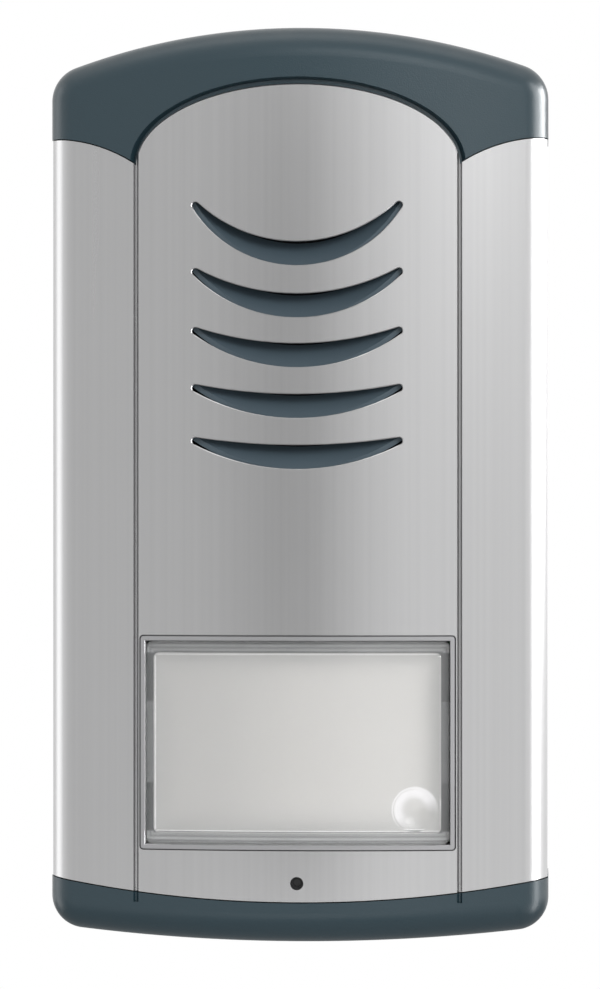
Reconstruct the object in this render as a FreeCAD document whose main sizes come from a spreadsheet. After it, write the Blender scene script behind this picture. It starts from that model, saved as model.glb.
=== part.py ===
import FreeCAD, Part
import math
import os
import re
import Sketcher

# Wall-mounted intercom door station, in millimetres.
# The wall is the plane y = 0, the front looks along -Y, +Z is up, and x = z = 0 is the middle of the body.
# Depths are distances from the wall towards the front.

SIZES = [
    # Housing section and outline
    ("body_width", 110.0, "across the two side walls"),
    ("body_depth", 36.0, "wall to the middle of the crowned front"),
    ("crown_radius", 200.0, "horizontal curve of the front"),
    ("corner_radius", 6.5, "long outer edges of the housing"),
    ("wall_standoff", 0.8, "air between the wall and the housing's rear edges"),
    ("profile_wall", 1.8, "wall of the extruded front profile"),
    ("groove_offset", 35.72, "middle of each long groove from the centre line"),
    ("groove_width", 1.15, "groove at the surface"),
    ("groove_floor", 0.3, "groove at its bottom"),
    ("groove_depth", 0.9, "depth of the groove"),
    ("arch_spring", 70.4, "height where the arch starts"),
    ("arch_rise", 17.6, "height of the arch over its springing"),
    ("rail_top", 76.3, "height of the side rails at the outer edge"),
    ("base_line", -91.8, "lower end of the profile on the centre line"),
    ("base_radius", 306.0, "curve of the profile's lower end"),
    # End caps
    ("top_height", 100.75, "top of the upper cap"),
    ("top_radius", 158.0, "curve of the upper cap's top"),
    ("top_corner", 8.0, "upper cap's shoulders"),
    ("base_height", -100.95, "underside of the lower cap"),
    ("foot_radius", 520.0, "curve of the lower cap's underside"),
    ("foot_corner", 7.5, "lower cap's corners"),
    ("cap_wall", 2.8, "wall of the caps"),
    ("cap_proud", 0.2, "caps stand out of the profile's surface"),
    ("cap_gap", 0.25, "joint line between a cap and the profile"),
    ("bevel_width", 1.2, "bevel of the upper cap over the arch"),
    ("bevel_spread", 2.6, "that bevel at the arch's springing, at the depth of the crown"),
    ("bevel_depth", 6.0, "depth of that bevel"),
    ("notch_length", 2.4, "groove notches in the lower cap"),
    ("spigot_gap", 0.2, "play between a cap's spigot and the profile"),
    ("spigot_wall", 1.8, "wall of the spigots"),
    ("spigot_back", 12.0, "depth where the spigots start"),
    ("spigot_split", 39.6, "half width of the spigots' front tongue"),
    ("spigot_reach", 6.4, "upper spigot below the arch's springing"),
    ("spigot_overlap", 3.5, "spigots' overlap with the caps' skins"),
    ("tongue_gap", 1.5, "air between the tongues and the parts beside them"),
    ("catch_offset", 25.0, "catches of the upper cap from the centre line"),
    ("catch_wide", 8.0, "width of a catch"),
    ("catch_drop", 8.8, "lower edge of the catches under the cap's top"),
    ("catch_head", 4.0, "upper end of the catches under the cap's top"),
    ("catch_back", 3.3, "depth of the catches' rear face"),
    ("catch_front", 6.9, "depth of the catches' front face"),
    ("lock_depth", 9.0, "depth of the security screw"),
    ("lock_radius", 1.5, "security screw's shank"),
    ("lock_head", 2.75, "security screw's head"),
    ("lock_sink", 2.0, "recess of the security screw's head"),
    ("lock_play", 0.25, "play around the security screw's head"),
    # Sound slots and the louvred insert
    ("slot_half", 23.2, "half width of a sound slot"),
    ("slot_end", 0.8, "radius of the slot ends"),
    ("slot_thick", 5.25, "height of a slot at its middle"),
    ("slot_one", 48.05, "lowest point of the first slot"),
    ("slot_two", 36.6, "lowest point of the second slot"),
    ("slot_three", 25.65, "lowest point of the third slot"),
    ("slot_four", 14.5, "lowest point of the fourth slot"),
    ("slot_five", 3.3, "lowest point of the fifth slot"),
    ("lower_one", 27.2, "radius of the first slot's lower edge"),
    ("lower_two", 32.5, "radius of the second slot's lower edge"),
    ("lower_three", 39.1, "radius of the third slot's lower edge"),
    ("lower_four", 46.8, "radius of the fourth slot's lower edge"),
    ("lower_five", 50.2, "radius of the fifth slot's lower edge"),
    ("gasket_thick", 0.5, "sealing foam behind the profile"),
    ("insert_half", 28.0, "half width of the grille insert"),
    ("insert_low", -3.0, "lower edge of the grille insert"),
    ("insert_high", 67.5, "upper edge of the grille insert"),
    ("insert_wall", 1.6, "wall of the grille insert"),
    ("insert_back", 27.2, "depth of the grille insert's rear rim"),
    ("blade_wall", 1.1, "thickness of a louvre blade"),
    ("blade_reach", 3.4, "depth of a louvre blade"),
    ("blade_rise", 5.0, "height that a blade climbs behind its slot"),
    ("window_margin", 0.6, "insert's windows around the slots"),
    ("edge_break", 0.15, "broken edges of the slots"),
    ("arch_break", 0.3, "broken edge of the arch"),
    ("screen_half", 26.0, "half width of the dust screen"),
    ("screen_back", 28.85, "depth of the dust screen's rear face"),
    ("screen_thick", 0.3, "dust screen"),
    # Loudspeaker
    ("speaker_height", 32.25, "middle of the loudspeaker"),
    ("speaker_radius", 25.0, "outside of the loudspeaker's flange"),
    ("speaker_depth", 12.5, "flange to the back of the magnet"),
    ("magnet_radius", 13.0, "loudspeaker magnet"),
    ("magnet_thick", 5.0, "loudspeaker magnet"),
    ("flange_thick", 1.2, "loudspeaker flange"),
    ("sheet_thick", 0.8, "pressed sheet of the loudspeaker basket"),
    ("vent_radius", 4.5, "windows of the basket"),
    ("magnet_edge", 0.6, "chamfer of the magnet"),
    ("sound_radius", 23.3, "sound opening behind the louvres"),
    ("basket_radius", 22.4, "basket behind the flange"),
    ("cone_radius", 20.8, "paper cone's rim"),
    ("coil_radius", 6.5, "paper cone's neck"),
    ("cone_wall", 0.5, "paper cone"),
    ("cone_lift", 1.6, "paper cone before the magnet"),
    ("cone_sink", 0.3, "cone's rim behind the flange"),
    ("clamp_circle", 29.0, "clamp screws from the loudspeaker's middle"),
    ("clamp_radius", 5.5, "clamp washers"),
    ("clamp_thick", 1.0, "clamp washers"),
    ("clamp_boss", 2.4, "bosses of the clamp screws"),
    # Call key module
    ("module_height", -56.9, "middle of the name-plate module"),
    ("frame_wide", 69.2, "frame's face"),
    ("frame_tall", 46.8, "frame's face"),
    ("frame_band", 1.0, "visible width of the frame"),
    ("frame_proud", 0.4, "frame stands out of the profile"),
    ("frame_gap", 0.3, "play between the frame and its cut-out"),
    ("frame_chamfer", 0.15, "inner edge of the frame's face"),
    ("frame_corner", 0.6, "frame's outer corners"),
    ("flange_side", 4.55, "frame's flange past its face, each side"),
    ("flange_rise", 2.7, "frame's flange past its face, up and down"),
    ("flange_corner", 2.0, "flange's corners"),
    ("skirt_wall", 1.5, "wall of the light box"),
    ("frame_back", 28.4, "depth of the flange's rear face"),
    ("frame_skirt", 24.1, "depth of the light box's rear edge"),
    ("key_play", 0.2, "play between the key and its frame"),
    ("key_proud", 1.0, "key's face stands out of the profile"),
    ("key_thick", 3.3, "thickness of the clear key under its pane"),
    ("key_corner", 1.2, "corners of the clear key's flange"),
    ("key_sink", 0.6, "clear flange under the profile's surface"),
    ("pane_wide", 63.3, "raised pane of the clear key"),
    ("pane_tall", 39.7, "raised pane of the clear key"),
    ("pane_corner", 1.3, "pane's corners"),
    ("pane_chamfer", 0.3, "pane's front edge"),
    ("key_travel", 1.2, "travel of the call key"),
    ("dimple_x", 25.7, "finger dimple from the centre line"),
    ("dimple_z", -71.6, "height of the finger dimple"),
    ("dimple_radius", 4.75, "finger dimple at the surface"),
    ("dimple_sink", 1.0, "depth of the finger dimple"),
    ("card_thick", 0.3, "name card"),
    ("layer_gap", 0.15, "air between window, card and carrier"),
    ("card_corner", 0.6, "corners of the card and of the carrier's bed"),
    ("card_inset", 0.3, "card's edge inside the pane's"),
    ("carrier_wall", 1.5, "front wall of the card carrier"),
    ("carrier_step", 0.9, "carrier's margin behind its front"),
    ("carrier_skirt", 27.5, "depth of the carrier's rear edge"),
    ("lug_tall", 18.0, "raised lug on each side of the carrier"),
    ("key_board_front", 24.0, "depth of the key board's front face"),
    ("board_thick", 1.6, "printed circuit boards"),
    ("key_board_half", 38.0, "half width of the key board"),
    ("key_board_tall", 49.0, "height of the key board"),
    ("switch_side", 6.0, "key switch body"),
    ("switch_tall", 3.5, "key switch body"),
    ("plunger_radius", 1.7, "switch plunger"),
    ("plunger_out", 1.0, "plunger out of the switch body"),
    ("plunger_ratio", 0.75, "plunger travel for each unit of key travel"),
    ("post_gap", 0.3, "air between the carrier's post and the plunger"),
    ("post_radius", 2.2, "carrier's post over the plunger"),
    ("board_screw_x", 35.9, "key board screws from the centre line"),
    ("board_screw_z", 22.4, "key board screws from the module's middle"),
    ("small_screw", 0.85, "key board screws' shank"),
    ("small_screw_length", 5.0, "key board screws under the head"),
    ("led_wide", 3.5, "backlight lamps"),
    ("led_tall", 2.8, "backlight lamps"),
    ("led_high", 1.9, "backlight lamps"),
    ("led_lens", 1.2, "radius of a lamp's lens"),
    ("led_x", 15.0, "backlight lamps from the centre line"),
    ("led_z", 9.0, "backlight lamps from the module's middle"),
    ("spring_radius", 2.0, "return spring to the wire's middle"),
    ("spring_wire", 0.4, "return spring wire"),
    ("spring_turns", 4.0, "turns of a return spring"),
    ("spring_x_top", 26.0, "upper springs from the centre line"),
    ("spring_x_low", 12.0, "lower springs from the centre line"),
    ("spring_z", 14.5, "springs from the module's middle"),
    ("spring_seat", 29.0, "depth of the spring seats on the carrier"),
    ("seat_radius", 2.8, "spring seats"),
    # Main board and what it carries
    ("main_back", 7.0, "depth of the main board's rear face"),
    ("main_half", 30.0, "half width of the main board"),
    ("main_low", -52.0, "lower edge of the main board"),
    ("main_high", 66.0, "upper edge of the main board"),
    ("standoff_x", 26.0, "standoffs from the centre line"),
    ("standoff_low", -46.0, "lower standoffs"),
    ("standoff_high", 62.0, "upper standoffs"),
    ("seat_gap", 0.05, "play around a seated part"),
    ("standoff_radius", 3.2, "standoffs of the main board"),
    ("screw_radius", 1.2, "board and clamp screws' shank"),
    ("head_radius", 2.6, "board and clamp screws' head"),
    ("head_tall", 1.6, "board and clamp screws' head"),
    ("board_screw_length", 4.2, "main board screws under the head"),
    ("clamp_screw_length", 4.0, "clamp screws under the head"),
    ("modem_z", 42.0, "radio module"),
    ("modem_wide", 30.0, "radio module"),
    ("modem_tall", 24.0, "radio module"),
    ("modem_high", 2.8, "radio module"),
    ("sim_z", 15.0, "card holder"),
    ("sim_wide", 27.0, "card holder"),
    ("sim_tall", 17.4, "card holder"),
    ("sim_high", 2.0, "card holder"),
    ("relay_x", -18.0, "lock relay"),
    ("relay_z", -14.0, "lock relay"),
    ("relay_wide", 15.4, "lock relay"),
    ("relay_tall", 20.0, "lock relay"),
    ("relay_high", 15.2, "lock relay"),
    ("capacitor_x", 5.0, "first capacitor"),
    ("capacitor_step", 13.0, "between the capacitors"),
    ("capacitor_z", -13.0, "capacitors"),
    ("capacitor_radius", 5.0, "capacitors"),
    ("capacitor_high", 14.0, "capacitors"),
    ("part_edge", 0.5, "rounded edges of the shield, the relay and the capacitors"),
    ("terminal_z", -46.4, "terminal block"),
    ("terminal_pitch", 5.08, "terminal block"),
    ("terminal_tall", 8.4, "terminal block"),
    ("terminal_high", 10.0, "terminal block"),
    ("terminal_head", 1.8, "radius of a terminal screw"),
    ("terminal_sink", 0.9, "terminal screws under the block's top"),
    ("chip_x", 22.0, "control chips from the centre line"),
    ("chip_upper", 25.0, "upper control chips"),
    ("chip_lower", 8.0, "lower control chip"),
    ("chip_large", 12.0, "side of the largest chip"),
    ("chip_high", 1.4, "height of the chips"),
    ("link_z", -36.4, "connector between the boards"),
    ("link_wide", 24.0, "connector between the boards"),
    ("link_tall", 5.0, "connector between the boards"),
    ("link_high", 8.0, "socket of that connector"),
    ("antenna_half", 28.0, "half width of the antenna"),
    ("antenna_thick", 0.8, "antenna"),
    ("antenna_back", 12.0, "depth of the antenna's rear edge"),
    ("antenna_front", 26.0, "depth of the antenna's front edge"),
    # Leads between the parts
    ("coax_radius", 0.6, "antenna lead"),
    ("coax_x", 11.5, "antenna lead from the centre line"),
    ("coax_reach", 7.5, "antenna lead before the radio module"),
    ("wire_radius", 0.5, "loudspeaker and microphone leads"),
    ("lead_slack", 1.4, "sideways slack of a lead"),
    ("arc_share", 0.45, "share of a run that the arc at its end takes"),
    # Back plate
    ("plate_thick", 3.0, "floor of the back plate"),
    ("plate_gap", 0.4, "play between the back plate and the housing"),
    ("rim_wall", 1.6, "rim of the back plate"),
    ("rim_depth", 8.0, "depth of that rim's edge"),
    ("rim_half", 80.0, "half length of that rim"),
    ("plate_corner", 9.0, "corners of the back plate"),
    ("hook_drop", 14.4, "foot of the hooks under the upper cap's top"),
    ("hook_lip", 1.9, "thickness of a hook's lip"),
    ("hook_height", 2.8, "height of a hook's lip"),
    ("hook_gap", 0.4, "play between hooks and catches"),
    ("lock_boss", 5.0, "half width of the security screw's boss"),
    ("lock_boss_tall", 6.2, "height of the security screw's boss"),
    ("fixing_x", 41.0, "wall screws from the centre line"),
    ("fixing_z", 68.0, "wall screws above and below the middle"),
    ("fixing_radius", 2.5, "wall screw holes"),
    ("entry_height", -68.0, "cable entry"),
    ("entry_radius", 8.0, "cable entry"),
    ("cable_radius", 3.5, "grommet's own opening"),
    ("grommet_rim", 2.2, "grommet's rim over the plate"),
    ("grommet_thick", 1.4, "grommet's rim"),
    ("grommet_back", 0.4, "grommet's rear before the wall"),
    ("seal_width", 2.5, "wall seal"),
    ("seal_depth", 1.5, "wall seal"),
    ("seal_inset", 3.6, "wall seal inside the plate's edge"),
    # Microphone
    ("mic_height", -87.7, "microphone opening"),
    ("mic_hole", 1.45, "radius of the microphone opening"),
    ("mic_radius", 3.0, "microphone capsule"),
    ("mic_tall", 3.4, "microphone capsule"),
    ("boot_radius", 4.2, "rubber boot of the microphone"),
    ("boot_depth", 6.0, "rubber boot of the microphone"),
    ("boot_face", 1.0, "boot's wall before the capsule"),
    ("boot_hole", 0.8, "sound hole of the boot"),
    ("collar_wall", 1.3, "collar around the boot"),
]

doc = FreeCAD.newDocument("door_station")
sheet = doc.addObject("Spreadsheet::Sheet", "Sizes")
for row, (alias, value, meaning) in enumerate(SIZES, 1):
    sheet.set("A%d" % row, meaning)
    sheet.set("B%d" % row, str(value))
    sheet.setAlias("B%d" % row, alias)
doc.recompute()
names = {alias for alias, value, meaning in SIZES}
parts = []


# Helpers: every size is an expression in the sheet's names

def ref(text):
    """The expression with each size's name led by its sheet."""
    return re.sub(r"[a-z_]+", lambda m: "Sizes." + m[0] if m[0] in names else m[0], str(text))


def bind(item, prop, text):
    item.setExpression(prop, ref(text))


def size(alias):
    """A size's number, for shapes that a formula draws."""
    return float(getattr(sheet, alias))


def node(name, solid):
    """Name a finished sub-part."""
    solid.Label = name
    parts.append(solid)
    return solid


def place(item, x, depth, z):
    bind(item, "Placement.Base.x", x)
    bind(item, "Placement.Base.y", "-(%s)" % depth)
    bind(item, "Placement.Base.z", z)


def block(name, x, depth, z):
    """A block between two values along each axis."""
    item = doc.addObject("Part::Box", name)
    bind(item, "Length", "(%s) - (%s)" % (x[1], x[0]))
    bind(item, "Width", "(%s) - (%s)" % (depth[1], depth[0]))
    bind(item, "Height", "(%s) - (%s)" % (z[1], z[0]))
    place(item, x[0], depth[1], z[0])
    return item


def centred(name, x, z, wide, tall, depth):
    """A block given by its middle and its size."""
    across = ("(%s) - (%s)/2" % (x, wide), "(%s) + (%s)/2" % (x, wide))
    up = ("(%s) - (%s)/2" % (z, tall), "(%s) + (%s)/2" % (z, tall))
    return block(name, across, depth, up)


FORWARD = FreeCAD.Rotation(FreeCAD.Vector(1, 0, 0), 90)


def rod(name, x, z, radius, depth):
    """A cylinder that runs from the wall towards the front."""
    item = doc.addObject("Part::Cylinder", name)
    item.Placement.Rotation = FORWARD
    bind(item, "Radius", radius)
    bind(item, "Height", "(%s) - (%s)" % (depth[1], depth[0]))
    place(item, x, depth[0], z)
    return item


def taper(name, x, z, radii, depth):
    """A cone that runs from the wall towards the front."""
    item = doc.addObject("Part::Cone", name)
    item.Placement.Rotation = FORWARD
    bind(item, "Radius1", radii[0])
    bind(item, "Radius2", radii[1])
    bind(item, "Height", "(%s) - (%s)" % (depth[1], depth[0]))
    place(item, x, depth[0], z)
    return item


def post(name, x, depth, radius, z):
    """An upright cylinder."""
    item = doc.addObject("Part::Cylinder", name)
    bind(item, "Radius", radius)
    bind(item, "Height", "(%s) - (%s)" % (z[1], z[0]))
    place(item, x, depth, z[0])
    return item


def fuse(name, *solids):
    item = doc.addObject("Part::MultiFuse", name)
    item.Shapes = list(solids)
    item.Refine = True
    return item


def common(name, *solids):
    item = doc.addObject("Part::MultiCommon", name)
    item.Shapes = list(solids)
    item.Refine = True
    return item


def cut(name, base, *tools):
    item = doc.addObject("Part::Cut", name)
    item.Base = base
    item.Tool = tools[0] if len(tools) == 1 else fuse(name + "_tools", *tools)
    item.Refine = True
    return item


def group(name, *solids):
    """Separate solids that share one node."""
    item = doc.addObject("Part::Compound", name)
    item.Links = list(solids)
    return item


def dress(name, base, radius, pick, kind="Fillet"):
    """Round or chamfer the edges of a solid that pick says yes to."""
    body = doc.addObject("PartDesign::Body", name)
    body.BaseFeature = base
    body.setExpression("Placement", base.Name + ".Placement")
    doc.recompute()
    chosen = ["Edge%d" % i for i, edge in enumerate(body.Shape.Edges, 1) if pick(edge)]
    if not chosen:
        raise ValueError(name + " found no edge to dress")
    feature = body.newObject("PartDesign::" + kind, name + "_edges")
    feature.Base = (body.Group[0], chosen)
    bind(feature, "Radius" if kind == "Fillet" else "Size", radius)
    body.Tip = feature
    doc.recompute()
    return body


def middle(edge):
    low, high = edge.ParameterRange
    return edge.valueAt((low + high) / 2)


def runs(edge, axis):
    """True for a straight edge along an axis."""
    start, end = edge.Vertexes[0].Point, edge.Vertexes[-1].Point
    if start.distanceToPoint(end) < 0.2:
        return False
    return abs(abs((end - start).normalize().dot(axis)) - 1) < 1e-6


X_AXIS = FreeCAD.Vector(1, 0, 0)
Y_AXIS = FreeCAD.Vector(0, 1, 0)
Z_AXIS = FreeCAD.Vector(0, 0, 1)


# The housing's section and outline

def crown(name, sink, z):
    """Everything behind the crowned front, sunk by a distance."""
    item = doc.addObject("Part::Cylinder", name)
    bind(item, "Radius", "crown_radius - (%s)" % sink)
    bind(item, "Height", "(%s) - (%s)" % (z[1], z[0]))
    place(item, "0", "body_depth - crown_radius", z[0])
    return item


def shell(name, inset, z, back, rounding="corner_radius"):
    """The housing's section, inset by a distance, between two heights."""
    half = "body_width/2 - (%s)" % inset
    sides = block(name + "_sides", ("-(%s)" % half, half), (back, "body_depth + 8"), z)
    raw = common(name + "_raw", sides, crown(name + "_crown", inset, z))
    front = lambda edge: runs(edge, Z_AXIS) and middle(edge).y < -size("body_depth") / 2
    return dress(name, raw, "%s - (%s)" % (rounding, inset), front)


def disc(name, radius, z):
    """A wide cylinder from behind the wall to before the front."""
    return rod(name, "0", z, radius, ("-5", "body_depth + 10"))


RAIL_RADIUS = ("((body_width/2 - groove_offset)^2 + (rail_top - arch_spring)^2)"
               " / (2*(rail_top - arch_spring))")


def ellipse(name, spread, rise, depth):
    """The arch as a closed line at a depth, grown sideways and up."""
    item = doc.addObject("Part::Ellipse", name)
    item.Placement.Rotation = FORWARD
    bind(item, "MajorRadius", "groove_offset + (%s)" % spread)
    bind(item, "MinorRadius", "arch_rise + (%s)" % rise)
    place(item, "0", depth, "arch_spring")
    return item


def outline(name, growth):
    """The space under the arch and the two rail ends, grown by a joint line."""
    arch = doc.addObject("Part::Extrusion", name + "_arch")
    arch.Base = ellipse(name + "_ellipse", growth, growth, "-5")
    arch.DirMode = "Custom"
    arch.Dir = FreeCAD.Vector(0, -1, 0)
    arch.Solid = True
    bind(arch, "LengthFwd", "body_depth + 15")
    under = block(name + "_under", ("-body_width", "body_width"), ("-5", "body_depth + 10"),
                  ("2*base_height", "arch_spring + (%s)" % growth))
    radius = "(%s) + (%s)" % (RAIL_RADIUS, growth)
    height = "rail_top - (%s)" % RAIL_RADIUS
    rails = [rod(name + "_rail_" + side, sign + "body_width/2", height, radius, ("-5", "body_depth + 10"))
             for side, sign in (("left", "-"), ("right", ""))]
    return fuse(name, under, arch, *rails)


# Sound slots

SLOTS = ("one", "two", "three", "four", "five")


def slot_numbers(which):
    """Heights and radii of a slot's lower arc, its upper arc and its round ends."""
    end, reach = size("slot_end"), size("slot_half") - size("slot_end")
    low, lower = size("slot_" + which), size("lower_" + which)
    tip = low + lower - math.sqrt((lower - end) ** 2 - reach ** 2)
    climb = tip - low - size("slot_thick")
    upper = (reach ** 2 + climb ** 2 - end ** 2) / 2 / (climb + end)
    return reach, tip, lower, upper


def upper_radius(which):
    """The same upper radius as an expression: the arc that touches both round ends."""
    reach = "(slot_half - slot_end)"
    climb = "(lower_%s - sqrt((lower_%s - slot_end)^2 - %s^2) - slot_thick)" % (which, which, reach)
    return "((%s^2 + %s^2 - slot_end^2) / 2 / (%s + slot_end))" % (reach, climb, climb)


def crescent(name, which, growth, depth):
    """A slot's space: a lower and an upper arc that touch two round ends, grown by a margin."""
    reach, tip, lower, upper = slot_numbers(which)
    low, grow, end = size("slot_" + which), size(growth) if growth else 0.0, size("slot_end")
    dish, hill = low + lower, low + size("slot_thick") + upper
    lean_low = math.atan2(reach, dish - tip)
    lean_up = math.atan2(reach, hill - tip)
    margin = growth or "0"
    drawing = doc.addObject("Sketcher::SketchObject", name + "_sketch")
    drawing.Placement.Rotation = FORWARD
    place(drawing, "0", depth[0], "0")
    flat = FreeCAD.Vector(0, 0, 1)

    def arc(x, z, radius, start, stop):
        circle = Part.Circle(FreeCAD.Vector(x, z, 0), flat, radius)
        return drawing.addGeometry(Part.ArcOfCircle(circle, start, stop))

    down = -math.pi / 2
    bottom = arc(0, dish, lower + grow, down - lean_low, down + lean_low)
    right = arc(reach, tip, end + grow, down + lean_low, down + math.pi + lean_up)
    top = arc(0, hill, upper - grow, down - lean_up, down + lean_up)
    left = arc(-reach, tip, end + grow, -down - lean_up, -down + math.pi - lean_low)
    for one, one_end, other, other_end in ((bottom, 2, right, 1), (right, 2, top, 2),
                                           (top, 1, left, 1), (left, 2, bottom, 1)):
        drawing.addConstraint(Sketcher.Constraint("Tangent", one, one_end, other, other_end))
    for curve in (bottom, top):
        drawing.addConstraint(Sketcher.Constraint("PointOnObject", curve, 3, -2))
    arcs = ((bottom, lower + grow, "lower_%s + %s" % (which, margin)),
            (top, upper - grow, "%s - %s" % (upper_radius(which), margin)),
            (left, end + grow, "slot_end + " + margin), (right, end + grow, "slot_end + " + margin))
    for curve, radius, text in arcs:
        index = drawing.addConstraint(Sketcher.Constraint("Radius", curve, radius))
        bind(drawing, "Constraints[%d]" % index, text)
    heights = ((bottom, dish, "slot_%s + lower_%s" % (which, which)),
               (top, hill, "slot_%s + slot_thick + %s" % (which, upper_radius(which))))
    for curve, height, text in heights:
        index = drawing.addConstraint(Sketcher.Constraint("DistanceY", -1, 1, curve, 3, height))
        bind(drawing, "Constraints[%d]" % index, text)
    prism = doc.addObject("Part::Extrusion", name)
    prism.Base = drawing
    prism.DirMode = "Normal"
    prism.Solid = True
    bind(prism, "LengthFwd", "(%s) - (%s)" % (depth[1], depth[0]))
    return prism


# Front profile, an aluminium extrusion with milled ends, slots and module opening

def module_block(name, wide, tall, depth, corner):
    """A round-cornered block on the module's middle."""
    raw = centred(name + "_raw", "0", "module_height", wide, tall, depth)
    return dress(name, raw, corner, lambda edge: runs(edge, Y_AXIS))


def groove(name, sign):
    item = doc.addObject("Part::Wedge", name)
    front = "body_depth - crown_radius + sqrt(crown_radius^2 - groove_offset^2)"
    over = "0.4"
    spread = "(groove_width - groove_floor) / 2 / groove_depth"
    half = "(groove_width/2 + %s*(%s))" % (over, spread)
    for prop, text in (("Xmin", "-" + half), ("Xmax", half), ("X2min", "-groove_floor/2"),
                       ("X2max", "groove_floor/2"), ("Ymin", "0"), ("Ymax", "groove_depth + " + over)):
        bind(item, prop, text)
    for prop in ("Zmin", "Z2min"):
        bind(item, prop, "2*base_height")
    for prop in ("Zmax", "Z2max"):
        bind(item, prop, "2*top_height")
    place(item, sign + "groove_offset", "%s + %s" % (front, over), "0")
    return item


def on_crown(edge, proud=0.0):
    """True for an edge that lies on the crowned front, or on one that stands out of it."""
    point = middle(edge)
    reach = math.hypot(point.x, point.y + size("body_depth") - size("crown_radius"))
    return abs(reach - size("crown_radius") - proud) < 0.01


def arch_edge(edge):
    """True for the arch's edge on the crowned front."""
    point = middle(edge)
    return on_crown(edge) and point.z > size("arch_spring") and abs(point.x) < size("groove_offset") / 2


def slot_edge(edge):
    """True for the slots' edges on the crowned front."""
    point = middle(edge)
    in_height = size("slot_five") - 1 < point.z < size("arch_spring") - size("slot_end")
    return on_crown(edge) and in_height and abs(point.x) < size("slot_half") + 0.01


def front_profile():
    whole = ("base_height", "top_height")
    beyond = ("base_height - 1", "top_height + 1")
    outer = shell("profile_outer", "0", whole, "wall_standoff")
    inner = shell("profile_inner", "profile_wall", beyond, "-2")
    tube = cut("profile_tube", outer, inner)
    lower = disc("profile_end", "base_radius", "base_line + base_radius")
    ends = common("profile_ends", tube, outline("profile_outline", "0"), lower)
    arched = dress("profile_arched", ends, "arch_break", arch_edge, "Chamfer")
    slots = [crescent("slot_cut_" + which, which, "", ("body_depth - 8", "body_depth + 4"))
             for which in SLOTS]
    opening = module_block("module_cut", "frame_wide + 2*frame_gap", "frame_tall + 2*frame_gap",
                           ("body_depth - 10", "body_depth + 4"), "frame_corner + frame_gap")
    sound = rod("mic_cut", "0", "mic_height", "mic_hole", ("body_depth - 6", "body_depth + 4"))
    grooves = [groove("groove_" + side, sign) for side, sign in (("left", "-"), ("right", ""))]
    sharp = cut("profile_sharp", arched, opening, sound, *slots, *grooves)
    return node("front_profile", dress("profile", sharp, "edge_break", slot_edge, "Chamfer"))


# Caps: moulded shells with a spigot inside the profile

def cap_form(name, inset, end, disc_radius, disc_height, corner, up, back):
    """A cap's form: the crowned section within a curved end, with round shoulders and a soft rim."""
    half = "body_width/2 - (%s)" % inset
    z = (end, "top_height + 5") if up > 0 else ("base_height - 5", end)
    sides = block(name + "_sides", ("-(%s)" % half, half), (back, "body_depth + 8"), z)
    raw = common(name + "_raw", sides, crown(name + "_crown", inset, z),
                 disc(name + "_disc", disc_radius, disc_height))
    open_end = max if up < 0 else min
    level = open_end(vertex.Z for vertex in recomputed(raw).Shape.Vertexes)
    away = lambda edge: abs(middle(edge).z - level) > 0.5
    shoulders = dress(name + "_shoulders", raw, corner, lambda edge: runs(edge, Y_AXIS) and away(edge))
    front = -size("body_depth") / 2
    rim = lambda edge: middle(edge).y < front and not runs(edge, Y_AXIS) and away(edge)
    return dress(name, shoulders, "corner_radius - (%s)" % inset, rim)


def recomputed(item):
    doc.recompute()
    return item


def spigot(name, z, tongue, side):
    """Walls inside the profile: two side legs and a front tongue, each with its own height."""
    reach = "profile_wall + spigot_gap"
    outer = shell(name + "_outer", reach, z, "spigot_back")
    beyond = (z[0] + " - 1", z[1] + " + 1")
    inner = shell(name + "_inner", reach + " + spigot_wall", beyond, "spigot_back - 1")
    depth = ("0", "body_depth + 5")
    far = "body_width"
    tools = []
    for end, (low, high) in (("low", (z[0] + " - 1", tongue[0])), ("high", (tongue[1], z[1] + " + 1"))):
        tools.append(block(name + "_middle_" + end, ("-spigot_split", "spigot_split"), depth, (low, high)))
    for end, (low, high) in (("low", (z[0] + " - 1", side[0])), ("high", (side[1], z[1] + " + 1"))):
        tools.append(block(name + "_left_" + end, ("-" + far, "-spigot_split"), depth, (low, high)))
        tools.append(block(name + "_right_" + end, ("spigot_split", far), depth, (low, high)))
    return cut(name, outer, inner, *tools)


def top_cap():
    centre = "top_height - top_radius"
    outer = cap_form("cap_outer", "-cap_proud", "insert_high", "top_radius", centre,
                     "top_corner", 1, "wall_standoff")
    inside = cap_form("cap_cavity", "cap_wall - cap_proud", "insert_high - 2", "top_radius - cap_wall",
                      centre, "top_corner - cap_wall", 1, "-2")
    bevel = doc.addObject("Part::Loft", "cap_bevel")
    front = "body_depth + cap_proud"
    bevel.Sections = [ellipse("bevel_root", "cap_gap", "cap_gap", front + " - bevel_depth"),
                      ellipse("bevel_face", "cap_gap + bevel_spread", "cap_gap + bevel_width", front)]
    bevel.Solid = True
    bevel.Ruled = True
    skin = cut("cap_skin", outer, inside, outline("cap_outline", "cap_gap"), bevel)
    legs = ("arch_spring - spigot_reach", "rail_top + spigot_overlap")
    tongue = ("insert_high + tongue_gap", "arch_spring + arch_rise + spigot_overlap")
    walls = spigot("cap_spigot", (legs[0], tongue[1]), tongue, legs)
    catches = []
    for side, sign in (("left", "-"), ("right", "")):
        middle_height = "top_height - (catch_drop + catch_head)/2"
        catches.append(centred("cap_catch_" + side, sign + "catch_offset", middle_height, "catch_wide",
                               "catch_drop - catch_head", ("catch_back", "catch_front")))
    return node("top_cap", fuse("cap", skin, walls, *catches))


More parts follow.
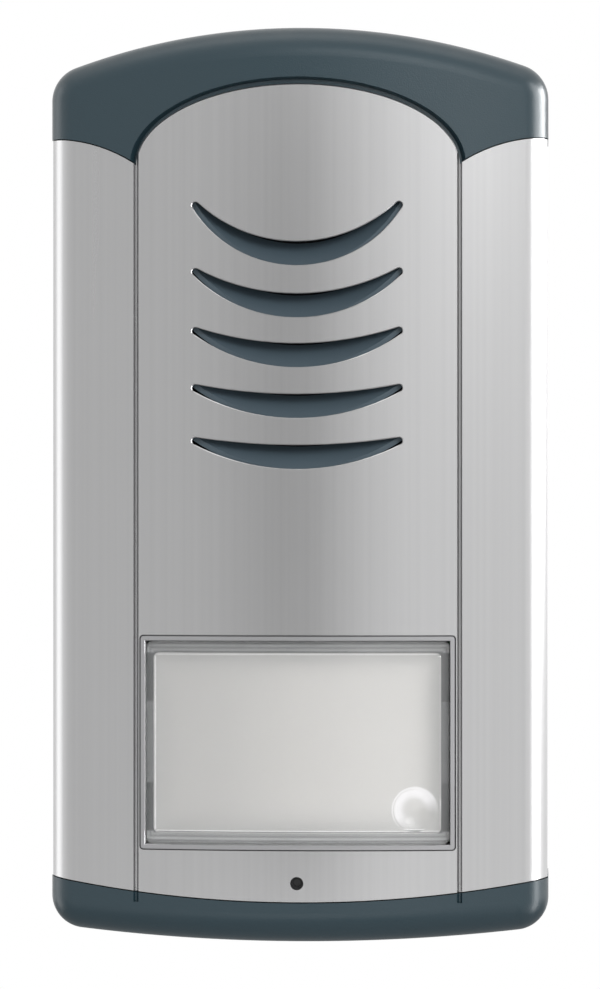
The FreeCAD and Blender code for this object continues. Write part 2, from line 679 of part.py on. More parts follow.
def bottom_cap():
    centre = "base_height + foot_radius"
    outer = cap_form("foot_outer", "-cap_proud", "base_line + 12", "foot_radius", centre,
                     "foot_corner", -1, "wall_standoff")
    inside = cap_form("foot_cavity", "cap_wall - cap_proud", "base_line + 14", "foot_radius - cap_wall",
                      centre, "foot_corner - cap_wall", -1, "-2")
    joint = disc("foot_joint", "base_radius + cap_gap", "base_line + base_radius")
    notches = [groove("notch_" + side, sign) for side, sign in (("left", "-"), ("right", ""))]
    bands = []
    for side, notch in zip(("left", "right"), notches):
        bind(notch, "Placement.Base.y", "-(body_depth + cap_proud - crown_radius"
             " + sqrt(crown_radius^2 - groove_offset^2) + 0.4)")
        line = "base_line + base_radius - sqrt(base_radius^2 - groove_offset^2)"
        band = block("notch_band_" + side, ("-body_width", "body_width"), ("0", "body_depth + 9"),
                     (line + " - notch_length", line + " + 3"))
        bands.append(common("notch_cut_" + side, notch, band))
    skin = cut("foot_skin", outer, inside, joint, *bands)
    top = "module_height - frame_tall/2 - flange_rise - tongue_gap/2"
    legs = ("base_line - spigot_overlap/2", top + " + 2")
    tongue = ("base_line - spigot_overlap - 0.8", top)
    walls = spigot("foot_spigot", (tongue[0], legs[1]), tongue, legs)
    face = "body_depth - profile_wall - spigot_gap"
    collar = rod("boot_collar", "0", "mic_height", "boot_radius + collar_wall",
                 (face + " - boot_depth + 1", face + " - 0.1"))
    over = block("collar_top", ("-body_width", "body_width"), ("0", "body_depth"), (top, "0"))
    solid = fuse("foot_solid", skin, walls, cut("boot_seat", collar, over))
    hole = rod("boot_bore", "0", "mic_height", "boot_radius + seat_gap",
               ("body_depth/2", "body_depth - profile_wall"))
    below = "base_height - 2"
    shank = post("lock_hole", "0", "lock_depth", "lock_radius + lock_play",
                 (below, "base_height + 2*cap_wall"))
    recess = post("lock_recess", "0", "lock_depth", "lock_head + lock_play",
                  (below, "base_height + lock_sink"))
    return node("bottom_cap", cut("foot", solid, hole, shank, recess))


def security_screw():
    low = "base_height + lock_sink - head_tall"
    head = post("lock_screw_head", "0", "lock_depth", "lock_head",
                (low, "base_height + lock_sink - seat_gap"))
    shank = post("lock_screw_shank", "0", "lock_depth", "lock_radius",
                 (low, "base_height + cap_wall + plate_gap + lock_boss_tall"))
    drive = doc.addObject("Part::Prism", "lock_screw_socket")
    bind(drive, "Circumradius", "lock_head/2")
    bind(drive, "Height", "head_tall * 0.6")
    place(drive, "0", "lock_depth", low)
    return node("security_screw", cut("lock_screw", fuse("lock_screw_solid", head, shank), drive))


# Louvred grille insert behind the slots

def blade(name, which):
    """A louvre: the band under a slot's lower arc, drawn backwards and up."""
    low, inner = size("slot_" + which), size("lower_" + which)
    outer, half = inner + size("blade_wall"), size("slot_half") + 2*size("window_margin")
    drawing = doc.addObject("Sketcher::SketchObject", name + "_sketch")
    drawing.Placement.Rotation = FORWARD
    place(drawing, "0", "body_depth - profile_wall - gasket_thick", "0")
    flat, down = FreeCAD.Vector(0, 0, 1), -math.pi / 2
    curves = []
    for radius, text in ((inner, "lower_" + which), (outer, "lower_%s + blade_wall" % which)):
        lean = math.asin(half / radius)
        circle = Part.Circle(FreeCAD.Vector(0, low + inner, 0), flat, radius)
        curve = drawing.addGeometry(Part.ArcOfCircle(circle, down - lean, down + lean))
        drawing.addConstraint(Sketcher.Constraint("PointOnObject", curve, 3, -2))
        for kind, ends, value, expression in (
                ("Radius", (curve,), radius, text),
                ("DistanceY", (-1, 1, curve, 3), low + inner, "slot_%s + lower_%s" % (which, which)),
                ("DistanceX", (-1, 1, curve, 1), -half, "-(slot_half + 2*window_margin)"),
                ("DistanceX", (-1, 1, curve, 2), half, "slot_half + 2*window_margin")):
            index = drawing.addConstraint(Sketcher.Constraint(kind, *ends, value))
            bind(drawing, "Constraints[%d]" % index, expression)
        curves.append(curve)
    for end in (1, 2):
        points = [drawing.getPoint(curve, end) for curve in curves]
        line = drawing.addGeometry(Part.LineSegment(*points))
        for curve, line_end in zip(curves, (1, 2)):
            drawing.addConstraint(Sketcher.Constraint("Coincident", curve, end, line, line_end))
    solid = doc.addObject("Part::Extrusion", name)
    solid.Base = drawing
    solid.DirMode = "Custom"
    solid.Dir = FreeCAD.Vector(0, size("blade_reach"), size("blade_rise"))
    solid.Solid = True
    bind(solid, "LengthFwd", "sqrt(blade_reach^2 + blade_rise^2)")
    return solid


INSERT_Z = ("insert_low", "insert_high")
INSERT_SINK = "profile_wall + gasket_thick"


def insert_sheet(name, sink, thick):
    """A sheet that follows the crowned front behind the slots, with a window for each slot."""
    z = ("insert_low - 1", "insert_high + 1")
    area = block(name + "_area", ("-insert_half", "insert_half"), ("insert_back", "body_depth"), INSERT_Z)
    sheet_front = common(name + "_front", area, crown(name + "_crown", sink, z))
    windows = [crescent("%s_window_%s" % (name, which), which, "window_margin", ("insert_back", "body_depth"))
               for which in SLOTS]
    return cut(name, sheet_front, crown(name + "_rear", "%s + %s" % (sink, thick), z), *windows)


def speaker_grille():
    face = insert_sheet("insert_face", INSERT_SINK, "insert_wall")
    depth = ("insert_back", "body_depth")
    z = ("insert_low - 1", "insert_high + 1")
    box = block("insert_box", ("-insert_half", "insert_half"), depth, INSERT_Z)
    hollow = block("insert_hollow", ("-insert_half + insert_wall", "insert_half - insert_wall"),
                   ("insert_back + insert_wall", "body_depth + 1"),
                   ("insert_low + insert_wall", "insert_high - insert_wall"))
    sound = rod("insert_sound", "0", "speaker_height", "sound_radius", ("insert_back - 1", "insert_back + 3"))
    crowned = common("insert_crowned", box, crown("insert_crown", INSERT_SINK, z))
    tray = cut("insert_tray", crowned, hollow, sound)
    blades = fuse("insert_all_blades", *[blade("blade_" + which, which) for which in SLOTS])
    trimmed = common("insert_blades", blades, box, crown("blade_crown", INSERT_SINK, z))
    bosses = [rod("clamp_boss_%d" % i, x, z_at, "clamp_boss",
                  ("insert_back - gasket_thick - flange_thick + seat_gap", "insert_back + insert_wall"))
              for i, (x, z_at) in enumerate(clamp_places())]
    pilots = [rod("clamp_pilot_%d" % i, x, z_at, "screw_radius + seat_gap",
                  ("insert_back - 3", "insert_back + insert_wall + 1"))
              for i, (x, z_at) in enumerate(clamp_places())]
    solid = fuse("insert_solid", face, tray, trimmed, *bosses)
    return node("speaker_grille", cut("insert", solid, *pilots))


def grille_gasket():
    foam = insert_sheet("gasket", "profile_wall + seat_gap", "gasket_thick - 2*seat_gap")
    return node("grille_gasket", foam)


def dust_screen():
    """Black cloth on the insert's floor, behind the louvres."""
    wall = "insert_wall + seat_gap"
    node("dust_screen", block("screen", ("-screen_half", "screen_half"),
                              ("screen_back", "screen_back + screen_thick"),
                              ("insert_low + " + wall, "insert_high - (%s)" % wall)))


# Loudspeaker, held to the insert by clamp washers

def clamp_places():
    side = "clamp_circle * sqrt(0.5)"
    return [(sx + side, "speaker_height %s %s" % (sz, side)) for sx in ("-", "") for sz in ("-", "+")]


def ring(name, x, z, outer, inner, depth):
    hole = (depth[0] + " - 1", depth[1] + " + 1")
    return cut(name, rod(name + "_outer", x, z, outer, depth), rod(name + "_hole", x, z, inner, hole))


def loudspeaker():
    seat = "insert_back"
    face = seat + " - gasket_thick"
    back = face + " - speaker_depth"
    node("speaker_gasket", ring("speaker_foam", "0", "speaker_height", "speaker_radius", "sound_radius",
                                (face + " + seat_gap", seat)))
    flange = rod("basket_flange", "0", "speaker_height", "speaker_radius", (face + " - flange_thick", face))
    neck = back + " + magnet_thick"
    outside = taper("basket_outside", "0", "speaker_height", ("magnet_radius", "basket_radius"),
                    (neck, face + " - flange_thick"))
    hollow = taper("basket_hollow", "0", "speaker_height",
                   ("magnet_radius - sheet_thick", "basket_radius - sheet_thick"),
                   (neck + " + sheet_thick", face + " + 0.01"))
    slots = []
    out = "(magnet_radius + basket_radius)/2"
    through = (neck + " + 2", face + " - flange_thick - sheet_thick")
    for i, (x, z) in enumerate((("1", "0"), ("-1", "0"), ("0", "1"), ("0", "-1"))):
        slots.append(rod("basket_window_%d" % i, "%s*%s" % (x, out), "speaker_height + %s*%s" % (z, out),
                         "vent_radius", through))
    node("speaker_basket", cut("basket", fuse("basket_solid", flange, outside), hollow, *slots))
    magnet = rod("magnet_block", "0", "speaker_height", "magnet_radius", (back, neck + " - seat_gap"))
    rear = size("gasket_thick") + size("speaker_depth") - size("insert_back")
    at_rear = lambda edge: abs(middle(edge).y - rear) < 0.2
    node("speaker_magnet", dress("magnet", magnet, "magnet_edge", at_rear, "Chamfer"))
    rim = face + " - cone_sink"
    foot = neck + " + cone_lift"
    paper = taper("paper_outside", "0", "speaker_height", ("coil_radius", "cone_radius"), (foot, rim))
    under = taper("paper_hollow", "0", "speaker_height",
                  ("coil_radius - cone_wall", "cone_radius - cone_wall"),
                  (foot + " + cone_wall", rim + " + 0.01"))
    cap = rod("dust_cap", "0", "speaker_height", "coil_radius + 1", (foot, foot + " + 1.8"))
    node("speaker_cone", fuse("paper", cut("paper_cone", paper, under), cap))
    washers, screws = [], []
    stop = face + " - flange_thick"
    seat = stop + " - clamp_thick"
    for i, (x, z) in enumerate(clamp_places()):
        washers.append(ring("clamp_washer_%d" % i, x, z, "clamp_radius", "screw_radius + seat_gap",
                            (seat, stop + " - seat_gap")))
        screws.append(screw("clamp_screw_%d" % i, x, z, seat + " - seat_gap", "clamp_screw_length"))
    node("speaker_clamps", group("clamp_washers", *washers))
    node("speaker_screws", group("clamp_screws", *screws))


def screw(name, x, z, seat, length, shank="screw_radius", head="head_radius", forward=True):
    """A cross-recess screw under whose head lies a seat: its shank runs forward or back from there."""
    if forward:
        head_depth = (seat + " - head_tall", seat)
        shank_depth = (seat + " - head_tall", "%s + %s" % (seat, length))
        mouth = (seat + " - head_tall - 1", seat + " - head_tall/2")
    else:
        head_depth = (seat, seat + " + head_tall")
        shank_depth = ("%s - %s" % (seat, length), seat + " + head_tall")
        mouth = (seat + " + head_tall/2", seat + " + head_tall + 1")
    solid = fuse(name + "_solid", rod(name + "_head", x, z, head, head_depth),
                 rod(name + "_shank", x, z, shank, shank_depth))
    width = "(%s)/3" % head
    bars = [centred(name + "_bar_x", x, z, "(%s)*1.3" % head, width, mouth),
            centred(name + "_bar_z", x, z, width, "(%s)*1.3" % head, mouth)]
    return cut(name, solid, *bars)


# Name-plate module: frame, clear key, card, carrier, springs, switch and key board

OPENING_WIDE = "frame_wide - 2*frame_band"
OPENING_TALL = "frame_tall - 2*frame_band"
FLANGE_WIDE = "frame_wide + 2*flange_side"
FLANGE_TALL = "frame_tall + 2*flange_rise"
MODULE_Z = ("module_height - frame_tall", "module_height + frame_tall")


def corner_screws():
    return [(sx + "board_screw_x", "module_height %s board_screw_z" % sz)
            for sx in ("-", "") for sz in ("-", "+")]


def in_opening(point):
    """True within the frame's opening, its edges included."""
    across = size("frame_wide") / 2 - size("frame_band") + 0.01
    up = size("frame_tall") / 2 - size("frame_band") + 0.01
    return abs(point.x) < across and abs(point.z - size("module_height")) < up


def name_plate_frame():
    face = common("frame_face", module_block("frame_block", "frame_wide", "frame_tall",
                                             ("frame_back", "body_depth + 4"), "frame_corner"),
                  crown("frame_crown", "-frame_proud", MODULE_Z))
    flange = common("frame_flange", module_block("flange_block", FLANGE_WIDE, FLANGE_TALL,
                                                 ("frame_back", "body_depth"), "flange_corner"),
                    crown("flange_crown", INSERT_SINK, MODULE_Z))
    skirt = centred("frame_skirt", "0", "module_height", OPENING_WIDE + " + 2*skirt_wall",
                    OPENING_TALL + " + 2*skirt_wall", ("frame_skirt", "frame_back + 1"))
    bosses = [rod("frame_boss_%d" % i, x, z, "2*small_screw + 0.3", ("frame_skirt", "frame_back + 1"))
              for i, (x, z) in enumerate(corner_screws())]
    pilots = [rod("frame_pilot_%d" % i, x, z, "small_screw + seat_gap",
                  ("frame_skirt - 1", "frame_back + 0.6"))
              for i, (x, z) in enumerate(corner_screws())]
    opening = centred("frame_opening", "0", "module_height", OPENING_WIDE, OPENING_TALL,
                      ("0", "body_depth + 5"))
    solid = fuse("frame_solid", face, flange, skirt, *bosses)
    sharp = cut("frame_sharp", solid, opening, *pilots)
    inside = lambda edge: on_crown(edge, size("frame_proud")) and in_opening(middle(edge))
    node("name_plate_frame", dress("frame", sharp, "frame_chamfer", inside, "Chamfer"))
    foam = common("frame_foam", module_block("foam_block", FLANGE_WIDE, FLANGE_TALL,
                                             ("frame_back", "body_depth"), "flange_corner"),
                  crown("foam_crown", "profile_wall + seat_gap", MODULE_Z))
    window = centred("foam_window", "0", "module_height", "frame_wide + 2*frame_gap",
                     "frame_tall + 2*frame_gap", ("0", "body_depth + 5"))
    node("frame_gasket", cut("foam", foam, crown("foam_rear", INSERT_SINK + " - seat_gap", MODULE_Z), window))


KEY_WIDE = OPENING_WIDE + " - 2*key_play"
KEY_TALL = OPENING_TALL + " - 2*key_play"


def call_key():
    """The clear key: a flange behind the frame's opening, a raised pane and the finger dimple in it."""
    flange = common("key_flange", module_block("key_flange_block", KEY_WIDE, KEY_TALL,
                                               ("frame_skirt", "body_depth"), "key_corner"),
                    crown("key_flange_crown", "key_sink", MODULE_Z))
    raised = common("pane_front", module_block("pane_block", "pane_wide", "pane_tall",
                                               ("frame_skirt", "body_depth + 6"), "pane_corner"),
                    crown("pane_crown", "-key_proud", MODULE_Z))
    pane = dress("pane", raised, "pane_chamfer", lambda edge: on_crown(edge, size("key_proud")), "Chamfer")
    rear = crown("key_rear", "key_thick - key_proud", MODULE_Z)
    clear = cut("key_clear", fuse("key_solid", flange, pane), rear)
    ball_radius = "((dimple_radius^2 + dimple_sink^2) / (2*dimple_sink))"
    front_radius = "(crown_radius + key_proud)"
    scale = "(%s + %s - dimple_sink) / %s" % (front_radius, ball_radius, front_radius)
    ball = doc.addObject("Part::Sphere", "dimple_ball")
    bind(ball, "Radius", ball_radius)
    place(ball, "dimple_x * " + scale,
          "body_depth + key_proud - %s + sqrt(%s^2 - dimple_x^2) * %s" % (front_radius, front_radius, scale),
          "dimple_z")
    node("call_key", cut("key", clear, ball))


def key_layers():
    """The name card under the pane and the carrier that backs the whole key."""
    card_sink = "key_thick - key_proud + layer_gap"
    card_rear = card_sink + " + card_thick"
    wide, tall = "pane_wide - 2*card_inset", "pane_tall - 2*card_inset"
    depth = ("carrier_skirt", "body_depth")
    card = common("card_front", module_block("card_block", wide, tall, depth, "card_corner"),
                  crown("card_crown", card_sink, MODULE_Z))
    node("name_card", cut("card", card, crown("card_rear", card_rear, MODULE_Z)))
    face = card_rear + " + layer_gap"
    bed = module_block("carrier_bed", wide, tall, depth, "card_corner")
    lugs = centred("carrier_lugs", "0", "module_height", KEY_WIDE, "lug_tall", depth)
    front = common("carrier_front", fuse("carrier_raised", bed, lugs), crown("carrier_crown", face, MODULE_Z))
    margin = common("carrier_margin", module_block("carrier_block", KEY_WIDE, KEY_TALL, depth, "key_corner"),
                    crown("carrier_margin_crown", face + " + carrier_step", MODULE_Z))
    inner = centred("carrier_inner", "0", "module_height", wide + " - 2*card_inset",
                    tall + " - 2*card_inset", ("0", "body_depth"))
    hollow = common("carrier_hollow", inner, crown("carrier_rear", face + " + carrier_wall", MODULE_Z))
    tray = cut("carrier_tray", fuse("carrier_outer", front, margin), hollow)
    seats = [rod("spring_seat_%d" % i, x, z, "seat_radius", ("spring_seat", "spring_seat + 3"))
             for i, (x, z) in enumerate(spring_places())]
    tip = "key_board_front + switch_tall + plunger_out + post_gap"
    push = rod("carrier_post", "dimple_x", "dimple_z", "post_radius", (tip, tip + " + 2"))
    inside = common("carrier_studs", fuse("carrier_stud_blocks", push, *seats),
                    crown("stud_crown", face + " + carrier_wall/3", MODULE_Z))
    node("key_carrier", fuse("carrier", tray, inside))


def spring_places():
    upper = [(sign + "spring_x_top", "module_height + spring_z") for sign in ("-", "")]
    lower = [(sign + "spring_x_low", "module_height - spring_z") for sign in ("-", "")]
    return upper + lower


WIRE_SIDES = 6


def return_springs():
    """Four open coil springs of six-sided wire between the key board and the carrier's seats."""
    low = size("key_board_front") + size("seat_gap") + size("spring_wire") / 2
    high = size("spring_seat") - size("seat_gap") - size("spring_wire") / 2
    radius = size("spring_radius")
    pitch = (high - low) / size("spring_turns")
    helix = Part.makeHelix(pitch, high - low, radius)
    around = [2 * math.pi * i / WIRE_SIDES for i in range(WIRE_SIDES + 1)]
    reach = size("spring_wire") / 2
    wire = Part.makePolygon([FreeCAD.Vector(radius + reach * math.cos(turn), 0, reach * math.sin(turn))
                             for turn in around])
    coil = Part.Wire(helix.Edges).makePipeShell([wire], True, True)
    print("spring: gap between turns %.2f mm" % (pitch - size("spring_wire")))
    springs = []
    for i, (x, z) in enumerate(spring_places()):
        item = doc.addObject("Part::Feature", "return_spring_%d" % i)
        item.Shape = coil
        item.Placement.Rotation = FORWARD
        place(item, x, "key_board_front + seat_gap + spring_wire/2", z)
        springs.append(item)
    return node("return_springs", group("springs", *springs))


def key_board():
    depth = ("key_board_front - board_thick", "key_board_front")
    board = centred("key_board_blank", "0", "module_height", "2*key_board_half", "key_board_tall", depth)
    holes = [rod("key_board_hole_%d" % i, x, z, "small_screw + 2*seat_gap", ("0", "body_depth"))
             for i, (x, z) in enumerate(corner_screws())]
    node("key_board", cut("key_board_drilled", board, *holes))
    seat = "key_board_front - board_thick - seat_gap"
    node("key_board_screws", group("key_screws", *[
        screw("key_screw_%d" % i, x, z, seat, "small_screw_length", "small_screw", "2.2*small_screw")
        for i, (x, z) in enumerate(corner_screws())]))
    lamps = []
    for i, (sx, sz) in enumerate((("-", "-"), ("-", "+"), ("", "-"), ("", "+"))):
        x, z = sx + "led_x", "module_height %s led_z" % sz
        base = centred("led_base_%d" % i, x, z, "led_wide", "led_tall",
                       ("key_board_front", "key_board_front + led_high/2"))
        lens = rod("led_lens_%d" % i, x, z, "led_lens", ("key_board_front", "key_board_front + led_high"))
        lamps.append(fuse("led_%d" % i, base, lens))
    node("backlight_leds", group("leds", *lamps))
    housing = centred("switch_block", "dimple_x", "dimple_z", "switch_side", "switch_side",
                      ("key_board_front", "key_board_front + switch_tall"))
    well = rod("switch_well", "dimple_x", "dimple_z", "plunger_radius + seat_gap",
               ("key_board_front + 0.2", "body_depth"))
    node("key_switch", cut("switch", housing, well))
    node("switch_plunger", rod("plunger", "dimple_x", "dimple_z", "plunger_radius",
                               ("key_board_front + 0.3 + key_travel*plunger_ratio",
                                "key_board_front + switch_tall + plunger_out")))


# Main board and its parts

MAIN_FRONT = "main_back + board_thick"


def standoffs():
    return [(sx + "standoff_x", z) for sx in ("-", "") for z in ("standoff_low", "standoff_high")]


def main_board():
    board = block("main_blank", ("-main_half", "main_half"), ("main_back", MAIN_FRONT),
                  ("main_low", "main_high"))
    holes = [rod("main_hole_%d" % i, x, z, "screw_radius + 0.3", ("0", "body_depth"))
             for i, (x, z) in enumerate(standoffs())]
    node("main_board", cut("main_drilled", board, *holes))
    node("board_screws", group("main_screws", *[
        screw("main_screw_%d" % i, x, z, MAIN_FRONT + " + seat_gap", "board_screw_length", forward=False)
        for i, (x, z) in enumerate(standoffs())]))


def on_board(name, x, z, wide, tall, high):
    return centred(name, x, z, wide, tall, (MAIN_FRONT, MAIN_FRONT + " + " + high))


def board_parts():
    shield = on_board("modem_shield", "0", "modem_z", "modem_wide", "modem_tall", "modem_high")
    node("gsm_modem", dress("modem", shield, "part_edge", lambda edge: middle(edge).y < shield_level()))
    holder = on_board("sim_block", "0", "sim_z", "sim_wide", "sim_tall", "sim_high")
    mouth = block("sim_mouth", ("-sim_wide/2 + 1", "sim_wide/2 + 5"),
                  (MAIN_FRONT + " + 0.5", MAIN_FRONT + " + sim_high - 0.4"), ("sim_z - 7.6", "sim_z + 7.6"))
    node("sim_holder", cut("sim_frame", holder, mouth))
    card = block("sim_plate", ("-sim_wide/2 + 1.2", "sim_wide/2 + 1"),
                 (MAIN_FRONT + " + 0.6", MAIN_FRONT + " + 1.4"), ("sim_z - 7.4", "sim_z + 7.4"))
    node("sim_card", card)
    relay = on_board("relay_block", "relay_x", "relay_z", "relay_wide", "relay_tall", "relay_high")
    node("lock_relay", dress("relay", relay, "part_edge", lambda edge: middle(edge).y < shield_level()))
    cans = []
    for i in range(2):
        x = "capacitor_x + %d*capacitor_step" % i
        can = rod("capacitor_can_%d" % i, x, "capacitor_z", "capacitor_radius",
                  (MAIN_FRONT, MAIN_FRONT + " + capacitor_high"))
        cans.append(dress("capacitor_%d" % i, can, "part_edge",
                          lambda edge: middle(edge).y < shield_level() - 5))
    node("capacitors", group("capacitor_pair", *cans))
    chips = [on_board("chip_%d" % i, x, z, wide, wide, "chip_high") for i, (x, z, wide) in
             enumerate((("-chip_x", "chip_upper", "chip_large"), ("chip_x", "chip_upper", "chip_large*3/4"),
                        ("-chip_x", "chip_lower", "chip_large*7/12")))]
    node("control_chips", group("chips", *chips))


def shield_level():
    return -(size("main_back") + size("board_thick") + 0.5)


def terminals():
    count = 8
    wide = "%d*terminal_pitch" % count
    body = on_board("terminal_body", "0", "terminal_z", wide, "terminal_tall", "terminal_high")
    wells, entries, screws = [], [], []
    top = MAIN_FRONT + " + terminal_high"
    for i in range(count):
        x = "(%d - %g)*terminal_pitch" % (i, (count - 1) / 2)
        floor = top + " - terminal_sink - terminal_head"
        wells.append(rod("terminal_well_%d" % i, x, "terminal_z", "terminal_head + 2*seat_gap",
                         (floor + " - 2*seat_gap", top + " + 1")))
        entries.append(centred("terminal_entry_%d" % i, x, "terminal_z - terminal_tall/2", "3",
                               "terminal_tall/2",
                               (MAIN_FRONT + " + 1.5", MAIN_FRONT + " + 4.5")))
        head = rod("terminal_head_%d" % i, x, "terminal_z", "terminal_head",
                   (floor, top + " - terminal_sink"))
        slit = centred("terminal_slit_%d" % i, x, "terminal_z", "3*terminal_head", "terminal_head/3",
                       (floor + " + terminal_head/2", top))
        screws.append(cut("terminal_screw_%d" % i, head, slit))
    node("terminal_block", cut("terminal", body, *wells, *entries))
    node("terminal_screws", group("terminal_heads", *screws))
    socket = on_board("link_socket", "0", "link_z", "link_wide", "link_tall", "link_high")
    plug = centred("link_plug", "0", "link_z", "link_wide - 1", "link_tall - 1",
                   (MAIN_FRONT + " + link_high", "key_board_front - board_thick"))
    node("board_link", group("link", socket, plug))


def gsm_antenna():
    centre = "top_height - top_radius"
    area = block("antenna_area", ("-antenna_half", "antenna_half"), ("antenna_back", "antenna_front"),
                 ("rail_top", "top_height"))
    strip = common("antenna_under", area, disc("antenna_top", "top_radius - cap_wall - seat_gap", centre))
    rear = disc("antenna_rear", "top_radius - cap_wall - seat_gap - antenna_thick", centre)
    node("gsm_antenna", cut("antenna", strip, rear))


# Microphone behind its opening

def microphone():
    face = "body_depth - profile_wall - 2*seat_gap"
    back = face + " - boot_depth"
    boot = rod("boot_body", "0", "mic_height", "boot_radius", (back, face))
    seat = rod("boot_seat_bore", "0", "mic_height", "mic_radius + seat_gap",
               (back + " - 1", face + " - boot_face"))
    sound = rod("boot_sound", "0", "mic_height", "boot_hole", ("0", "body_depth"))
    node("microphone_boot", cut("boot", boot, seat, sound))
    can = rod("mic_can", "0", "mic_height", "mic_radius",
              (face + " - boot_face - mic_tall", face + " - boot_face - seat_gap"))
    node("microphone", can)


# Leads, each a tube along straight runs that tangent arcs join

def lead(name, radius, points):
    """A lead through points given as x, depth and height."""
    stops = [FreeCAD.Vector(x, -depth, z) for x, depth, z in points]
    edges, bends, start = [], [], stops[0]
    for before, corner, after in zip(stops, stops[1:], stops[2:]):
        back, ahead = before - corner, after - corner
        turn = math.pi - back.getAngle(ahead)
        reach = size("arc_share") * min(back.Length, ahead.Length)
        bend = reach / math.tan(turn / 2)
        inward = (back.normalize() + ahead.normalize()).normalize()
        enter, leave = corner + back * reach, corner + ahead * reach
        via = corner + inward * (bend / math.cos(turn / 2) - bend)
        edges.append(Part.LineSegment(start, enter).toShape())
        edges.append(Part.Arc(enter, via, leave).toShape())
        bends.append(bend)
        start = leave
    edges.append(Part.LineSegment(start, stops[-1]).toShape())
    path = Part.Wire(edges)
    section = Part.Wire(Part.Circle(stops[0], stops[1] - stops[0], radius).toShape())
    item = doc.addObject("Part::Feature", name)
    item.Shape = path.makePipeShell([section], True, True)
    share = item.Shape.Volume / (math.pi * radius ** 2 * path.Length)
    print("%s: length %.1f, smallest bend radius %.1f, volume over section times length %.3f"
          % (name, path.Length, min(bends), share))
    return item


def antenna_lead():
    """From the radio module's front up to the antenna."""
    seat = size("main_back") + size("board_thick") + size("modem_high") + size("seat_gap")
    foot = size("modem_z") + size("modem_tall") / 3
    x, reach, slack = size("coax_x"), size("coax_reach"), size("lead_slack")
    under = size("top_radius") - size("cap_wall") - size("antenna_thick") - 4 * size("seat_gap")
    top = size("top_height") - size("top_radius") + math.sqrt(under ** 2 - x ** 2)
    rise = (top - foot) / 4
    node("antenna_lead", lead("coax", size("coax_radius"), [
        (x - slack, seat, foot),
        (x - slack, seat + reach / 2, foot),
        (x - slack, seat + reach, foot + reach / 2),
        (x + slack, seat + reach, foot + rise),
        (x + slack, seat + reach - slack, foot + 2 * rise),
        (x, seat + reach, top - rise), (x, seat + reach, top)]))


def speaker_leads():
    """From the loudspeaker's flange back to the main board."""
    front = size("insert_back") - size("gasket_thick") - size("flange_thick") - size("seat_gap")
    rear = size("main_back") + size("board_thick") + size("seat_gap")
    x, z = size("speaker_radius") - 1.3, size("speaker_height")
    step, slack = (front - rear) / 4, size("lead_slack")
    wires = [lead("speaker_wire_%d" % i, size("wire_radius"), [
        (x, front, z + rise), (x, front - step, z + rise), (x + slack, front - 2 * step, z + 1.4 * rise),
        (x + slack / 3, rear + step, z + 2 * rise), (x + slack / 3, rear, z + 2 * rise)])
        for i, rise in enumerate((size("wire_radius"), 5 * size("wire_radius")))]
    node("speaker_leads", group("speaker_wires", *wires))


def microphone_leads():
    """From the microphone's back up to the key board's lower edge."""
    seat = size("body_depth") - size("profile_wall") - size("boot_face")
    back = seat - size("mic_tall") - 3 * size("seat_gap")
    board = size("key_board_front") - size("board_thick") / 2
    foot = size("mic_height")
    top = size("module_height") - size("key_board_tall") / 2 - size("seat_gap")
    wires = [lead("microphone_wire_%d" % i, size("wire_radius"), [
        (x, back, foot), (x, board + 2.3, foot), (x, board, foot + 2.3), (x, board, top)])
        for i, x in enumerate((-1.2, 1.2))]
    node("microphone_leads", group("microphone_wires", *wires))


# Back plate on the wall, with its seal and cable grommet

def plate_outline(name, inset, depth):
    half = "body_width/2 - cap_wall + cap_proud - plate_gap - (%s)" % inset
    area = block(name + "_area", ("-(%s)" % half, half), depth, ("base_height", "top_height"))
    top = disc(name + "_top", "top_radius - cap_wall - plate_gap - (%s)" % inset, "top_height - top_radius")
    foot = disc(name + "_foot", "foot_radius - cap_wall - plate_gap - (%s)" % inset,
                "base_height + foot_radius")
    raw = common(name + "_raw", area, top, foot)
    return dress(name, raw, "plate_corner - (%s)" % inset, lambda edge: runs(edge, Y_AXIS))


def seal_ring(name, play, depth):
    outer = plate_outline(name + "_outer", "seal_inset + " + play, depth)
    inner = plate_outline(name + "_inner", "seal_inset + seal_width - " + play,
                          (depth[0] + " - 1", depth[1] + " + 1"))
    return cut(name, outer, inner)


